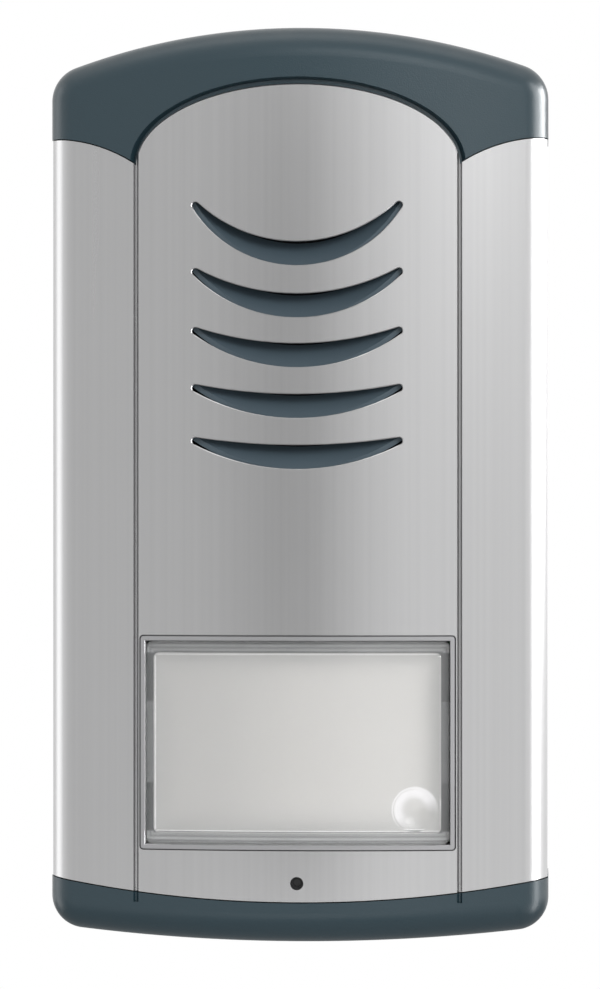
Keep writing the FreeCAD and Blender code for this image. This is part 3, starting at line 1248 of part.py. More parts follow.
def back_plate():
    floor = plate_outline("plate_floor", "0", ("0", "plate_thick"))
    edge = "body_width/2 - cap_wall + cap_proud - plate_gap"
    depth, z = ("plate_thick - 1", "rim_depth"), ("-rim_half", "rim_half")
    rims = [block("plate_rim_left", ("-(%s)" % edge, "-(%s) + rim_wall" % edge), depth, z),
            block("plate_rim_right", ("%s - rim_wall" % edge, edge), depth, z)]
    pillars = [rod("standoff_%d" % i, x, z, "standoff_radius", ("plate_thick - 1", "main_back"))
               for i, (x, z) in enumerate(standoffs())]
    hooks = []
    for side, sign in (("left", "-"), ("right", "")):
        x = sign + "catch_offset"
        arm_low = "top_height - hook_drop"
        arm_top = "top_height - catch_drop - hook_gap"
        front = "catch_front + hook_gap"
        arm = centred("hook_arm_" + side, x, "(%s + %s)/2" % (arm_low, arm_top), "catch_wide - 1",
                      "hook_drop - catch_drop - hook_gap", ("plate_thick - 1", front + " + hook_lip"))
        lip = centred("hook_lip_" + side, x, "%s + hook_height/2" % arm_top, "catch_wide - 1", "hook_height",
                      (front, front + " + hook_lip"))
        hooks += [arm, lip]
    boss_low = "base_height + cap_wall + plate_gap"
    boss = block("lock_boss", ("-lock_boss", "lock_boss"), ("plate_thick - 1", "lock_depth + lock_boss"),
                 (boss_low, boss_low + " + lock_boss_tall"))
    solid = fuse("plate_solid", floor, boss, *rims, *pillars, *hooks)
    fixings = [rod("fixing_%d" % i, sx + "fixing_x", sz + "fixing_z", "fixing_radius",
                   ("-2", "plate_thick + 2"))
               for i, (sx, sz) in enumerate((("-", "-"), ("-", ""), ("", "-"), ("", "")))]
    pilots = [rod("standoff_pilot_%d" % i, x, z, "screw_radius + seat_gap",
                  ("plate_thick + 1", "main_back + 1"))
              for i, (x, z) in enumerate(standoffs())]
    entry = rod("entry_hole", "0", "entry_height", "entry_radius", ("-2", "plate_thick + 2"))
    thread = post("lock_thread", "0", "lock_depth", "lock_radius + seat_gap",
                  (boss_low + " - 1", boss_low + " + lock_boss_tall + 1"))
    channel = seal_ring("seal_channel", "0", ("-1", "seal_depth"))
    node("back_plate", cut("plate", solid, channel, entry, thread, *fixings, *pilots))
    node("wall_seal", seal_ring("seal", "seat_gap", ("0", "seal_depth - seat_gap")))


def cable_grommet():
    body = rod("grommet_body", "0", "entry_height", "entry_radius - seat_gap",
               ("grommet_back", "plate_thick + grommet_thick"))
    rim = rod("grommet_rim", "0", "entry_height", "entry_radius + grommet_rim",
              ("plate_thick + seat_gap", "plate_thick + grommet_thick"))
    hole = rod("grommet_hole", "0", "entry_height", "cable_radius", ("-1", "body_depth"))
    node("cable_grommet", cut("grommet", fuse("grommet_solid", body, rim), hole))


front_profile()
top_cap()
bottom_cap()
security_screw()
speaker_grille()
grille_gasket()
dust_screen()
loudspeaker()
name_plate_frame()
call_key()
key_layers()
return_springs()
key_board()
main_board()
board_parts()
terminals()
gsm_antenna()
microphone()
antenna_lead()
speaker_leads()
microphone_leads()
back_plate()
cable_grommet()
doc.recompute()

for item in doc.Objects:
    if "Invalid" in item.State or "Error" in item.State:
        raise RuntimeError("%s is not built: %s" % (item.Label, item.State))
for part in parts:
    if part.Shape.isNull() or not part.Shape.isValid():
        raise RuntimeError("%s has no valid shape" % part.Label)
os.makedirs("parts", exist_ok=True)
for part in parts:
    part.Shape.exportStep("parts/%s.step" % part.Label)
print(len(parts), "sub-parts")
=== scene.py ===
# %% [markdown]
# # A wall-mounted intercom door station
# The real product is a crowned aluminium extrusion held between two grey moulded caps.
# Behind its slots sits a louvred insert with the loudspeaker, and below them a wide clear key covers the name card.
# The solids of the construction model are loaded first and stay where they are. They carry the size and the joints,
# and this script gives them their looks.

# %% Load the construction model
import math
import bpy
import bmesh
from mathutils import Matrix, Vector


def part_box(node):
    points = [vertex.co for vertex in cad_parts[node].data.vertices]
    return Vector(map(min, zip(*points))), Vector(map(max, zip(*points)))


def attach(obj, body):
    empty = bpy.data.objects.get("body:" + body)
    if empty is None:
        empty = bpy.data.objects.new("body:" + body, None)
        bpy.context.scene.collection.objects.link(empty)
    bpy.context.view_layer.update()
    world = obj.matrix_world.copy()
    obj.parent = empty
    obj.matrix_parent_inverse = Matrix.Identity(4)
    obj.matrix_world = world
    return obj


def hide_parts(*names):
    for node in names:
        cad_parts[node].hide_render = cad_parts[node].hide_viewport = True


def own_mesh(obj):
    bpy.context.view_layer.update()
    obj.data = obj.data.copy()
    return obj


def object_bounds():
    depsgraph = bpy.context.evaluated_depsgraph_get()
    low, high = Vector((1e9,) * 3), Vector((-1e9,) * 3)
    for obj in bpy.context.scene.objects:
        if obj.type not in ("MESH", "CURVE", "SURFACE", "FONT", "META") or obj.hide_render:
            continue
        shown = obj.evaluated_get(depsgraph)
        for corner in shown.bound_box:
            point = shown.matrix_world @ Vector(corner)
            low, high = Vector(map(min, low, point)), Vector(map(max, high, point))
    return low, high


MM = 0.001
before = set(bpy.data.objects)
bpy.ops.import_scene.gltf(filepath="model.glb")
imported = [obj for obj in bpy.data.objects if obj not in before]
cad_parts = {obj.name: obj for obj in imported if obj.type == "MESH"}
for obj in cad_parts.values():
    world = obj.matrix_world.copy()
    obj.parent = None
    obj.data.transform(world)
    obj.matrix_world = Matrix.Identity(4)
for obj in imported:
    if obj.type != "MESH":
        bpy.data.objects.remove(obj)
cad_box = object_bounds()
low, high = (Vector(corner) for corner in cad_box)
print("body in mm:", [round(side / MM, 1) for side in high - low])

# %% [markdown]
# # The view
# The photograph was taken square on and level, from a little to the right, with a long lens about a metre away.
# A long lens keeps the sides parallel, so a short one would show too much of the side wall.
# The lens follows from how many pixels a millimetre of the front takes up, so the picture is framed as it was.

# %% Camera
picture_height = 989
pixels_per_metre = 4557
distance = 1.0
turned = math.radians(3.0)
half_depth = 18 * MM
front_distance = distance - half_depth
aim = Vector((-0.22 * MM, -half_depth, -2.3 * MM))

lens_data = bpy.data.cameras.new("camera")
lens_data.sensor_fit = "VERTICAL"
lens_data.sensor_height = 24
lens_data.lens = lens_data.sensor_height * front_distance * pixels_per_metre / picture_height
camera = bpy.data.objects.new("camera", lens_data)
bpy.context.scene.collection.objects.link(camera)
camera.location = aim + distance * Vector((math.sin(turned), -math.cos(turned), 0))
camera.rotation_euler = (math.pi / 2, 0, turned)
bpy.context.scene.camera = camera
bpy.context.scene.view_settings.view_transform = "Standard"
print("lens in mm: %.1f" % lens_data.lens)

# %% [markdown]
# # The studio
# Polished and brushed metal look like what stands round them, so the studio matters as much as the material.
# The background is white for the eye, for reflections and through glass. Its light on matt surfaces stays lower, or
# their colours would wash out. One background can't be both, so the kind of ray chooses between two.

# %% Background
light_on_matt = 0.42
light_seen = 1.0
world = bpy.data.worlds.new("studio")
bpy.context.scene.world = world
world.use_nodes = True
sky = world.node_tree
sky.nodes.clear()
rays = sky.nodes.new("ShaderNodeLightPath")
seen = rays.outputs["Is Camera Ray"]
for kind in ("Is Glossy Ray", "Is Transmission Ray"):
    either = sky.nodes.new("ShaderNodeMath")
    either.operation = "MAXIMUM"
    sky.links.new(seen, either.inputs[0])
    sky.links.new(rays.outputs[kind], either.inputs[1])
    seen = either.outputs[0]
choose = sky.nodes.new("ShaderNodeMixShader")
sky.links.new(seen, choose.inputs[0])
for slot, strength in ((1, light_on_matt), (2, light_seen)):
    light = sky.nodes.new("ShaderNodeBackground")
    light.inputs["Color"].default_value = (1, 1, 1, 1)
    light.inputs["Strength"].default_value = strength
    sky.links.new(light.outputs[0], choose.inputs[slot])
sky.links.new(choose.outputs[0], sky.nodes.new("ShaderNodeOutputWorld").inputs["Surface"])
print("background: %.2f to the eye, %.2f as light" % (light_seen, light_on_matt))

# %% [markdown]
# # The floor
# The object hangs on a wall, so the floor lies a metre below it and only lights the underside, as white paper would.
# To the eye it is as white as the background, so that no seam shows where they meet. A bmesh grid with a single face
# makes the floor, and the studio's other boards are made the same way.

# %% Floor
def object_from(name, mesh, material):
    """A new object in the scene with one material."""
    piece = bpy.data.objects.new(name, mesh)
    bpy.context.scene.collection.objects.link(piece)
    mesh.materials.append(material)
    return piece


def card(name, width, height, place, turn, material):
    """A flat studio board."""
    form = bmesh.new()
    bmesh.ops.create_grid(form, x_segments=1, y_segments=1, size=0.5)
    bmesh.ops.scale(form, vec=(width, height, 1), verts=form.verts)
    bmesh.ops.transform(form, matrix=Matrix.Translation(place) @ turn.to_4x4(), verts=form.verts)
    mesh = bpy.data.meshes.new(name)
    form.to_mesh(mesh)
    form.free()
    board = object_from(name, mesh, material)
    return board


def for_rays(material, kind, other):
    """Give one kind of ray another shader than the material's own."""
    tree = material.node_tree
    either = tree.nodes.new("ShaderNodeMixShader")
    tree.links.new(tree.nodes.new("ShaderNodeLightPath").outputs[kind], either.inputs[0])
    tree.links.new(tree.nodes["Principled BSDF"].outputs[0], either.inputs[1])
    tree.links.new(other.outputs[0], either.inputs[2])
    tree.links.new(either.outputs[0], tree.nodes["Material Output"].inputs["Surface"])


floor_width = 6
floor_level = -1.0
floor_white = bpy.data.materials.new("floor_white")
floor_white.use_nodes = True
paper = floor_white.node_tree.nodes["Principled BSDF"]
paper.inputs["Base Color"].default_value = (0.85, 0.85, 0.85, 1)
paper.inputs["Roughness"].default_value = 0.9
pale = floor_white.node_tree.nodes.new("ShaderNodeEmission")
pale.inputs["Strength"].default_value = 1.0
for_rays(floor_white, "Is Camera Ray", pale)
card("floor", floor_width, floor_width, (0, 0, floor_level), Matrix.Identity(3), floor_white)
print("floor in metres: %g wide, at %g" % (floor_width, floor_level))

# %% [markdown]
# # What the metal mirrors
# The crowned front spreads the room from about fifty degrees left to forty-five degrees right over its width. In the
# photograph it is an even grey on the left, darkest near the middle and lighter on the right. So a grey board stands
# on the left, a black one near the camera, and paler ones follow to the right. The front is lighter near the arch
# and below the key, which takes one board above and three below the others.
# The right edge of the housing is nearly white, on the plastic caps too, so bright boards stand level with the
# object and behind it on the right, where only the rounded edge mirrors them. A weaker one stands on the left.
# The roof board gives the upper edges a light line.
# The boards glow with a set brightness, which is easier to match than a board lit by the lamps. The camera looks
# through them, and they light no matt surface.

# %% Boards
def glow(name, brightness):
    """A material that gives off an even grey light."""
    material = bpy.data.materials.new(name)
    material.use_nodes = True
    tree = material.node_tree
    tree.nodes.clear()
    light = tree.nodes.new("ShaderNodeEmission")
    light.inputs["Color"].default_value = (brightness, brightness, brightness, 1)
    tree.links.new(light.outputs[0], tree.nodes.new("ShaderNodeOutputMaterial").inputs["Surface"])
    return material


# Each board's name, its width and height, its place and its brightness.
boards = (
    ("left_board", (1.3, 2.4), (-0.80, -1.25, 0.0), 0.78),
    ("camera_board", (0.18, 0.42), (-0.040, -0.95, 0.01), 0.0),
    ("near_board", (0.30, 1.0), (0.20, -0.98, 0.0), 1.2),
    ("upper_board", (0.50, 0.60), (0.25, -0.94, 0.385), 2.5),
    ("lower_left_board", (0.9, 0.30), (-0.70, -0.94, -0.32), 0.85),
    ("lower_middle_board", (0.5, 0.30), (0.0, -0.94, -0.32), 1.45),
    ("lower_right_board", (1.0, 0.30), (0.75, -0.94, -0.32), 0.95),
    ("side_board", (0.5, 1.6), (0.68, -0.85, -0.1), 0.88),
    ("right_board", (0.34, 1.6), (1.05, -0.30, 0.0), 8.0),
    ("right_strip", (0.7, 0.52), (1.15, 0.30, 0.30), 20.0),
    ("left_strip", (0.60, 1.4), (-1.10, 0.15, 0.0), 2.2),
    ("roof_board", (1.2, 0.5), (0.0, -0.15, 1.1), 1.8),
)
for name, (width, height), place, brightness in boards:
    facing = (aim - Vector(place)).to_track_quat("Z", "Y").to_matrix()
    board = card(name, width, height, place, facing, glow(name, brightness))
    board.visible_camera = False
    board.visible_shadow = False
    board.visible_diffuse = False
print("boards:", len(boards))

# %% [markdown]
# # Lamp
# One soft box from the upper right adds a little direction to the even daylight, for the caps and the louvres.
# A lamp from straight above would draw a bright line along the upper cap, which the photograph doesn't have. What
# shines on gloss is left to the boards, so the lamp itself isn't mirrored.

# %% Soft box
box_place = Vector((0.55, -1.30, 0.50))
soft_box = bpy.data.lights.new("front_box", "AREA")
soft_box.shape = "RECTANGLE"
soft_box.size = soft_box.size_y = 0.45
soft_box.energy = 6.5
lamp = bpy.data.objects.new("front_box", soft_box)
bpy.context.scene.collection.objects.link(lamp)
lamp.location = box_place
lamp.rotation_euler = (aim - box_place).to_track_quat("-Z", "Y").to_euler()
lamp.visible_glossy = False
print("soft box in watts:", soft_box.energy)

# %% [markdown]
# # Grain
# A moulded or brushed surface is never quite even. Three small node groups give that unevenness, and every finish
# takes the ones it needs with its own scale. They are groups because many finishes share them. The shader itself
# stays in each material, because its constants are set there.
# The first group has a fine grain, as spark erosion leaves on a mould, and a wide cloud for uneven tone and gloss.
# An image could give the same, but noise on the piece's own coordinates needs no unwrapping and has no seams.

# %% Node group: grain
def new_group(name, inputs, outputs):
    """An empty node group with named number inputs and outputs."""
    group = bpy.data.node_groups.new(name, "ShaderNodeTree")
    for label, value in inputs:
        socket = group.interface.new_socket(name=label, in_out="INPUT", socket_type="NodeSocketFloat")
        socket.default_value = value
    for label in outputs:
        group.interface.new_socket(name=label, in_out="OUTPUT", socket_type="NodeSocketFloat")
    return group, group.nodes.new("NodeGroupInput"), group.nodes.new("NodeGroupOutput")


def feed(tree, value, socket):
    """Link a socket to another one, or set it to a plain value."""
    if isinstance(value, bpy.types.NodeSocket):
        tree.links.new(value, socket)
    else:
        socket.default_value = value


def own_place(tree):
    """The place on the piece, in metres."""
    return tree.nodes.new("ShaderNodeTexCoord").outputs["Object"]


def noise_in(tree, place, scale, stretch=(1, 1, 1), detail=4.0):
    """Noise over a place, stretched per axis."""
    mapping = tree.nodes.new("ShaderNodeMapping")
    mapping.inputs["Scale"].default_value = stretch
    tree.links.new(place, mapping.inputs["Vector"])
    noise = tree.nodes.new("ShaderNodeTexNoise")
    noise.inputs["Detail"].default_value = detail
    tree.links.new(mapping.outputs["Vector"], noise.inputs["Vector"])
    feed(tree, scale, noise.inputs["Scale"])
    return noise.outputs["Fac"]


grain, grain_in, grain_out = new_group(
    "grain", (("Grain Scale", 2500.0), ("Cloud Scale", 25.0)), ("Height", "Cloud"))
place = own_place(grain)
grain.links.new(noise_in(grain, place, grain_in.outputs["Grain Scale"], detail=2.0), grain_out.inputs["Height"])
grain.links.new(noise_in(grain, place, grain_in.outputs["Cloud Scale"]), grain_out.inputs["Cloud"])
print("grain has", len(grain.nodes), "nodes")

# %% [markdown]
# # Brush lines
# The extrusion is brushed along its length. Brush lines are long noise: the texture is fine across the piece and
# stretched along it. Across means x on the front and y on the side walls, so the group looks at the normal and takes
# the one or the other. The lines come fine, for the tone, and as wider bands, for the gloss.

# %% Node group: brush lines
def maths(tree, operation, first, second=0.0):
    """A math node on sockets or plain numbers."""
    step = tree.nodes.new("ShaderNodeMath")
    step.operation = operation
    feed(tree, first, step.inputs[0])
    feed(tree, second, step.inputs[1])
    return step.outputs[0]


def split(tree, vector):
    """The X, Y and Z of a vector."""
    parts = tree.nodes.new("ShaderNodeSeparateXYZ")
    tree.links.new(vector, parts.inputs[0])
    return parts.outputs


brush, brush_in, brush_out = new_group(
    "brush_lines", (("Line Scale", 700.0), ("Band Scale", 120.0)), ("Line", "Band"))
place = split(brush, own_place(brush))
normal = split(brush, brush.nodes.new("ShaderNodeNewGeometry").outputs["Normal"])
wall_from = 0.7
on_wall = maths(brush, "GREATER_THAN", maths(brush, "ABSOLUTE", normal["X"]), wall_from)
across = brush.nodes.new("ShaderNodeMix")
brush.links.new(on_wall, across.inputs["Factor"])
brush.links.new(place["X"], across.inputs["A"])
brush.links.new(place["Y"], across.inputs["B"])
point = brush.nodes.new("ShaderNodeCombineXYZ")
brush.links.new(across.outputs["Result"], point.inputs["X"])
brush.links.new(place["Z"], point.inputs["Z"])
for label, along, detail in (("Line", 0.002, 4.0), ("Band", 0.01, 3.0)):
    strokes = noise_in(brush, point.outputs[0], brush_in.outputs[label + " Scale"], (1, 1, along), detail)
    brush.links.new(strokes, brush_out.inputs[label])
print("brush lines have", len(brush.nodes), "nodes")

# %% [markdown]
# # Dust
# Dust settles on what faces upwards, outdoors above all, and slides off what is steeper. Its mask grows with the
# normal's upward part, and noise breaks it up into specks. It could be painted by hand, but made this way it stays
# right when a piece changes its shape.

# %% Node group: dust
def between(tree, value, start, end, lowest=0.0, highest=1.0):
    """Goes from lowest to highest while the value goes from start to end."""
    span = tree.nodes.new("ShaderNodeMapRange")
    span.inputs["From Min"].default_value = start
    span.inputs["From Max"].default_value = end
    span.inputs["To Min"].default_value = lowest
    span.inputs["To Max"].default_value = highest
    tree.links.new(value, span.inputs["Value"])
    return span.outputs[0]


dust, dust_in, dust_out = new_group("dust", (("Amount", 0.25),), ("Mask",))
normal = split(dust, dust.nodes.new("ShaderNodeNewGeometry").outputs["Normal"])
steepest = 0.35
speck_scale = 180.0
level = between(dust, normal["Z"], steepest, 1.0)
specks = noise_in(dust, own_place(dust), speck_scale, detail=6.0)
settled = maths(dust, "MULTIPLY", level, specks)
dust.links.new(maths(dust, "MULTIPLY", settled, dust_in.outputs["Amount"]), dust_out.inputs["Mask"])
print("dust has", len(dust.nodes), "nodes")

# %% [markdown]
# # One recipe for all finishes
# Most finishes differ only in colour, gloss, grain and tone. A recipe takes these as values: a cloud of slightly
# lighter and darker tone in the colour, the same cloud in the roughness, and the grain as a small bump.
# A finish that needs more, such as the brushed aluminium, starts from the recipe and lays further tones over it.
# The first one made is the foam of the gaskets.

# %% Recipe
def placed(tree, group, **values):
    """Place a node group with its own values and hand back its outputs."""
    instance = tree.nodes.new("ShaderNodeGroup")
    instance.node_tree = group
    for label, value in values.items():
        instance.inputs[label.replace("_", " ")].default_value = value
    return instance.outputs


def lay_over(material, colour, factor):
    """Lay a colour over the material's own colour, as strongly as the factor says."""
    tree = material.node_tree
    target = tree.nodes["Principled BSDF"].inputs["Base Color"]
    mix = tree.nodes.new("ShaderNodeMix")
    mix.data_type = "RGBA"
    mix.inputs["B"].default_value = (*colour, 1)
    tree.links.new(target.links[0].from_socket, mix.inputs["A"])
    tree.links.new(factor, mix.inputs["Factor"])
    tree.links.new(mix.outputs["Result"], target)


dust_colour = (0.30, 0.29, 0.27)


def finish(name, colour, rough, metal=0.0, bump=0.00002, grain_scale=2500.0, cloud_scale=25.0,
           tone=0.12, rough_spread=0.08, dusty=0.0, **constants):
    """A material with grain, tone and optional dust. Constants go straight onto the shader's sockets."""
    material = bpy.data.materials.new(name)
    material.use_nodes = True
    tree = material.node_tree
    shader = tree.nodes["Principled BSDF"]
    texture = placed(tree, grain, Grain_Scale=grain_scale, Cloud_Scale=cloud_scale)
    tint = tree.nodes.new("ShaderNodeMix")
    tint.data_type = "RGBA"
    tint.inputs["A"].default_value = (*(channel * (1 - tone) for channel in colour), 1)
    tint.inputs["B"].default_value = (*(min(1, channel * (1 + tone)) for channel in colour), 1)
    tree.links.new(texture["Cloud"], tint.inputs["Factor"])
    tree.links.new(tint.outputs["Result"], shader.inputs["Base Color"])
    if dusty:
        lay_over(material, dust_colour, placed(tree, dust, Amount=dusty)["Mask"])
    gloss = between(tree, texture["Cloud"], 0, 1, rough - rough_spread, rough + rough_spread)
    tree.links.new(gloss, shader.inputs["Roughness"])
    relief = tree.nodes.new("ShaderNodeBump")
    relief.inputs["Strength"].default_value = 1.0
    relief.inputs["Distance"].default_value = bump
    tree.links.new(texture["Height"], relief.inputs["Height"])
    tree.links.new(relief.outputs["Normal"], shader.inputs["Normal"])
    shader.inputs["Metallic"].default_value = metal
    for socket, value in constants.items():
        shader.inputs[socket.replace("_", " ")].default_value = value
    return material


foam = finish("foam", (0.018, 0.018, 0.020), 0.95, bump=0.00015, grain_scale=1800.0)
print("a finish has", len(foam.node_tree.nodes), "nodes")

# %% [markdown]
# # Inside the housing
# The inner pieces hardly show, but the part can be opened and reused, so each has its own finish. One table holds
# them all, because they differ only in the recipe's values: name, colour, roughness, anything further, and the
# pieces that wear it.

# %% Finishes of the inner pieces
def wear(material, *nodes):
    """Give nodes of the construction model their finish."""
    for node in nodes:
        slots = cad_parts[node].data.materials
        slots.clear()
        slots.append(material)


inner_finishes = (
    ("board_green", (0.018, 0.085, 0.030), 0.35, dict(bump=0.00001, Coat_Weight=0.4),
     ("main_board", "key_board")),
    ("tinned_sheet", (0.55, 0.55, 0.53), 0.32, dict(metal=1.0, cloud_scale=60.0),
     ("gsm_modem", "sim_holder", "speaker_basket")),
    ("zinc_plate", (0.48, 0.49, 0.51), 0.30, dict(metal=1.0, cloud_scale=300.0),
     ("board_screws", "speaker_screws", "speaker_clamps", "key_board_screws", "terminal_screws", "security_screw")),
    ("spring_wire", (0.42, 0.42, 0.43), 0.25, dict(metal=1.0), ("return_springs",)),
    ("ferrite", (0.045, 0.045, 0.048), 0.7, dict(bump=0.00006, grain_scale=1500.0), ("speaker_magnet",)),
    ("cone_paper", (0.022, 0.021, 0.020), 0.9, dict(bump=0.0001, grain_scale=900.0), ("speaker_cone",)),
    ("black_rubber", (0.020, 0.020, 0.021), 0.6, dict(bump=0.00004), ("cable_grommet", "microphone_boot")),
    ("black_moulding", (0.020, 0.020, 0.022), 0.45, {}, ("control_chips", "board_link", "key_switch", "lock_relay")),
    ("blue_sleeve", (0.020, 0.035, 0.10), 0.3, {}, ("capacitors",)),
    ("green_moulding", (0.025, 0.20, 0.07), 0.45, {}, ("terminal_block",)),
    ("copper_film", (0.45, 0.22, 0.10), 0.35, dict(metal=1.0), ("gsm_antenna",)),
    ("lamp_lens", (0.80, 0.80, 0.72), 0.3, {}, ("backlight_leds",)),
    ("white_moulding", (0.62, 0.62, 0.60), 0.45, {}, ("switch_plunger", "sim_card")),
    ("capsule_can", (0.06, 0.06, 0.06), 0.4, {}, ("microphone",)),
    ("screen_cloth", (0.010, 0.010, 0.011), 0.95, dict(bump=0.0001, grain_scale=1500.0), ("dust_screen",)),
    ("lead_sleeve", (0.018, 0.018, 0.020), 0.5, {}, ("antenna_lead", "speaker_leads", "microphone_leads")),
    ("plate_grey", (0.030, 0.040, 0.048), 0.5, dict(bump=0.00006), ("back_plate",)),
)
wear(foam, "grille_gasket", "frame_gasket", "speaker_gasket", "wall_seal")
for name, colour, rough, further, nodes in inner_finishes:
    wear(finish(name, colour, rough, **further), *nodes)
print("inner finishes:", 1 + len(inner_finishes))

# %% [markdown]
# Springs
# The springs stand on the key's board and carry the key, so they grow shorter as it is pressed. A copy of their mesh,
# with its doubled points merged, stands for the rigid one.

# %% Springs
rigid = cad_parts["return_springs"].data
same_point = 0.001 * MM
form = bmesh.new()
form.from_mesh(rigid)
bmesh.ops.remove_doubles(form, verts=form.verts, dist=same_point)
mesh = bpy.data.meshes.new("soft_return_springs")
form.to_mesh(mesh)
form.free()
springs = object_from("soft_return_springs", mesh, rigid.materials[0])

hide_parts("return_springs")
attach(springs, "station")
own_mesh(springs)

# %% [markdown]
# # Grey mouldings
# The caps are moulded in a blue-grey plastic with a fine spark-eroded grain. It is a satin surface: the bright boards
# show as a broad sheen on the rounded edges. The louvred insert is the same plastic, but in its recess it gets so
# little light that it takes a paler colour to look as it does in the photograph.

# %% Caps and insert
cap_plastic = finish("cap_plastic", (0.029, 0.061, 0.079), 0.31, bump=0.00003, grain_scale=3500.0, cloud_scale=18.0,
                     tone=0.06, dusty=0.25)
insert_plastic = finish("insert_plastic", (0.095, 0.137, 0.168), 0.42, bump=0.00002, grain_scale=3500.0)
wear(cap_plastic, "top_cap", "bottom_cap")
wear(insert_plastic, "speaker_grille")
print("mouldings:", cap_plastic.name, insert_plastic.name)

# %% [markdown]
# # Brushed aluminium
# The extrusion is clear anodised over its brush lines. The fine lines go into the tone and the wider bands into the
# roughness. As a bump they would be finer than a pixel and break up. The anisotropic gloss does what thousands of
# scratches do to a highlight: it draws it out across them.

# %% Front profile
brushed = finish("brushed_aluminium", (0.50, 0.50, 0.503), 0.28, 1.0, bump=0.000004, grain_scale=3000.0,
                 tone=0.02, rough_spread=0.02, Anisotropic=0.5)
tree = brushed.node_tree
strokes = placed(tree, brush)
line_tone = (0.40, 0.40, 0.405)
line_strength = 0.22
gloss_band, matt_band = 0.25, 0.32
lines = between(tree, strokes["Line"], 0.35, 0.65)
lay_over(brushed, line_tone, maths(tree, "MULTIPLY", lines, line_strength))
bands = between(tree, strokes["Band"], 0, 1, gloss_band, matt_band)
tree.links.new(bands, tree.nodes["Principled BSDF"].inputs["Roughness"])
wear(brushed, "front_profile")
print("brushed aluminium has", len(tree.nodes), "nodes")

# %% [markdown]
# # The key
# The call key is a thick clear window over a plain card in a silver-grey frame. Clear plastic is a glass-like
# shader with a low index of refraction, so its bevelled rim bends the light and reads as a darker border. Its face
# is slightly satin. That blurs the mirrored room but not the card, which lies close behind it. Glass would throw a
# dark shadow on the card, so shadow rays get a clear shader instead and the light passes straight through.

# %% Frame, window and card
frame_silver = finish("frame_silver", (0.42, 0.42, 0.43), 0.35, 0.6, bump=0.00001)
clear_window = finish("clear_window", (0.97, 0.97, 0.965), 0.24, bump=0.000001, rough_spread=0.01, tone=0.01,
                      Transmission_Weight=1.0, IOR=1.49, Specular_IOR_Level=0.3)
passing = clear_window.node_tree.nodes.new("ShaderNodeBsdfTransparent")
passing.inputs["Color"].default_value = (0.92, 0.92, 0.915, 1)
for_rays(clear_window, "Is Shadow Ray", passing)
card_film = finish("card_film", (0.55, 0.542, 0.533), 0.55, bump=0.000005, tone=0.02)
milky_plastic = finish("milky_plastic", (0.098, 0.103, 0.108), 0.45)
wear(frame_silver, "name_plate_frame")
wear(clear_window, "call_key")
wear(card_film, "name_card")
wear(milky_plastic, "key_carrier")
card_low, card_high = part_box("name_card")
print("card in mm: %.1f x %.1f" % tuple((card_high - card_low).xz / MM))

# %% [markdown]
# # Distance from the card's edge
# Seen through the key, the card and the carrier behind it change in tone near the card's edge. One node group
# measures how far a point lies outside the edge, or inside where the value is negative: sideways, upwards, and the
# larger of the two. It needs only the card's middle and half its size, which are read from its box.

# %% Node group: card edge
def vector_steps(tree, vector, *steps):
    """Pass a vector through vector math steps, each an operation with its second value or None."""
    for operation, value in steps:
        step = tree.nodes.new("ShaderNodeVectorMath")
        step.operation = operation
        if value is not None:
            step.inputs[1].default_value = value
        tree.links.new(vector, step.inputs[0])
        vector = step.outputs["Value" if operation in ("LENGTH", "DOT_PRODUCT") else "Vector"]
    return vector


card_middle = (card_low + card_high) / 2
card_half = (card_high - card_low) / 2
edge, _, edge_out = new_group("card_edge", (), ("Distance", "Across", "Up"))
past_edge = vector_steps(edge, own_place(edge), ("SUBTRACT", card_middle), ("ABSOLUTE", None),
                         ("SUBTRACT", card_half))
outside = split(edge, past_edge)
edge.links.new(maths(edge, "MAXIMUM", outside["X"], outside["Z"]), edge_out.inputs["Distance"])
edge.links.new(outside["X"], edge_out.inputs["Across"])
edge.links.new(outside["Z"], edge_out.inputs["Up"])
print("card edge has", len(edge.nodes), "nodes")

# %% [markdown]
# # Tones of the card
# The card carries painted shade: it darkens towards its edge, where the frame shades it, and is painted a little
# darker in its left half. A thin painted light rim runs inside the edge, where the key's bevel gathers the light. The
# renderer finds such light badly, so the card carries it. A curve node shapes the shade, because a straight ramp
# would end in a visible line.

# %% Card
def curved(tree, value, *steps):
    """A smooth curve through the steps."""
    curve_node = tree.nodes.new("ShaderNodeFloatCurve")
    points = curve_node.mapping.curves[0].points
    points[0].location = steps[0]
    points[-1].location = steps[-1]
    for step in steps[1:-1]:
        points.new(*step)
    curve_node.mapping.update()
    tree.links.new(value, curve_node.inputs["Value"])
    return curve_node.outputs[0]


tree = card_film.node_tree
# Colours of the painted shade and of the painted light rim.
painted_shade = (0.40, 0.40, 0.40)
rim_light = (0.9, 0.9, 0.9)
shade_width = 6.5 * MM
left_width = 16 * MM
left_strength = 0.42
rim_begins, rim_full = 0.25 * MM, 0.12 * MM
measured = placed(tree, edge)
# Painted shade towards the card's edge, where the frame shades it.
near_edge = between(tree, measured["Distance"], -shade_width, 0)
lay_over(card_film, painted_shade, curved(tree, near_edge, (0, 0), (0.5, 0.3), (0.8, 0.7), (1, 0.8)))
# Painted shade over the left half of the card.
left_shade = between(tree, split(tree, own_place(tree))["X"], 0, -left_width)
lay_over(card_film, painted_shade, maths(tree, "MULTIPLY", left_shade, left_strength))
# Painted light rim inside the card's edge.
lay_over(card_film, rim_light, between(tree, measured["Distance"], -rim_begins, -rim_full))
print("card has", len(tree.nodes), "nodes")
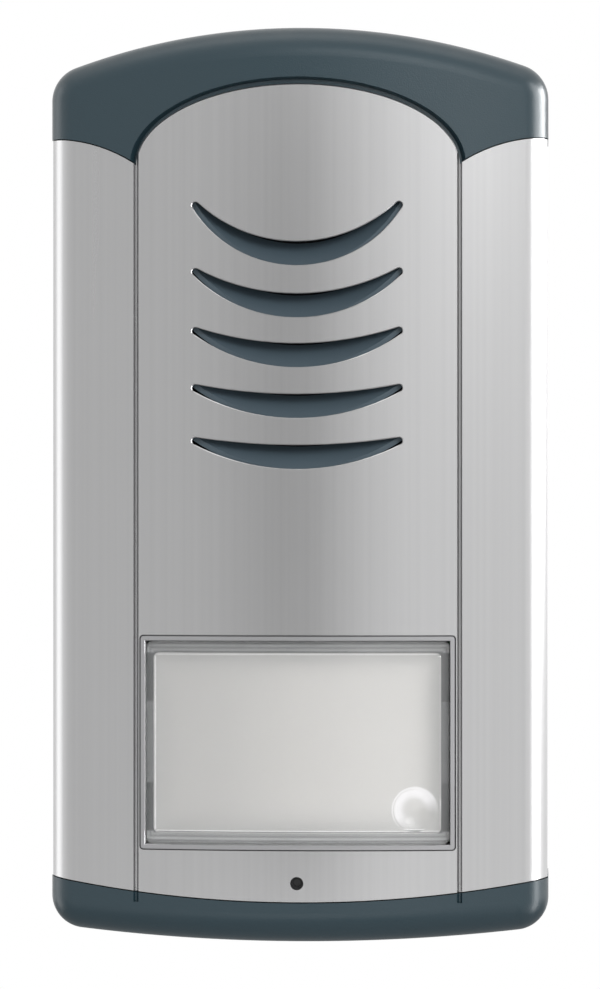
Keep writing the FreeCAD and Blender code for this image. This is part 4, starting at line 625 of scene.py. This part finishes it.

# %% [markdown]
# # Tones of the carrier
# The carrier's margin has moulded steps, which catch the light as light and dark lines above and below the card, and
# a lug on each side at mid height, which shows lighter. The steps are finer than a pixel in depth, so their
# highlights and
# shade are painted as tones: a curve with several peaks over the distance from the card. The lugs get painted light
# too.

# %% Carrier
tree = milky_plastic.node_tree
# Colours of the painted highlights on the moulded steps and of the painted light on the lugs.
step_highlight = (0.66, 0.67, 0.68)
lug_painted_light = (0.15, 0.155, 0.16)
margin_width = 3.2 * MM
fade_in = 0.3 * MM
lug_half = 9 * MM
lug_soft = 0.1 * MM
measured = placed(tree, edge)
margin = between(tree, measured["Distance"], 0, margin_width)
lines = curved(tree, margin, (0, 0.9), (0.08, 0.1), (0.25, 0.55), (0.4, 0.3), (0.55, 0.7), (0.7, 0.2),
               (0.85, 0.6), (1, 0.3))
above_or_below = between(tree, measured["Up"], 0, fade_in)
# Painted highlights of the steps above and below the card.
lay_over(milky_plastic, step_highlight, maths(tree, "MULTIPLY", lines, above_or_below))
beside = between(tree, measured["Across"], 0, fade_in)
lug_top = lug_half - card_half.z
mid_height = between(tree, measured["Up"], lug_top + lug_soft, lug_top - lug_soft)
# Painted light on the lugs at mid height.
lay_over(milky_plastic, lug_painted_light, maths(tree, "MULTIPLY", beside, mid_height))
print("carrier has", len(tree.nodes), "nodes")

# %% [markdown]
# # Light under the dimple
# The hollow of the finger dimple works as a lens: it throws the light outwards, and a bright ring gathers under its
# rim. A path tracer finds such caustics badly, so the card carries the ring as a lighter tone, strongest towards the
# upper left. It follows the distance from the dimple's centre, which is read from the switch plunger behind it.

# %% Ring of light on the card
plunger_low, plunger_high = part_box("switch_plunger")
dimple = (plunger_low + plunger_high) / 2
dimple_radius = 4.75 * MM
ring_radius = 1.08 * dimple_radius
ring_light = (0.84, 0.83, 0.85)
brightest_way = (-0.5, 0, 0.87)
tree = card_film.node_tree
from_dimple = vector_steps(tree, own_place(tree), ("SUBTRACT", dimple), ("MULTIPLY", (1, 0, 1)))
reach = between(tree, vector_steps(tree, from_dimple, ("LENGTH", None)), 0, ring_radius)
ring = curved(tree, reach, (0, 0.12), (0.4, 0.2), (0.72, 0.85), (0.88, 0.9), (1, 0))
side = vector_steps(tree, from_dimple, ("NORMALIZE", None), ("DOT_PRODUCT", brightest_way))
upper_left = between(tree, side, -0.7, 0.1)
lay_over(card_film, ring_light, maths(tree, "MULTIPLY", ring, upper_left))
print("ring across in mm: %.1f" % (2 * ring_radius / MM))
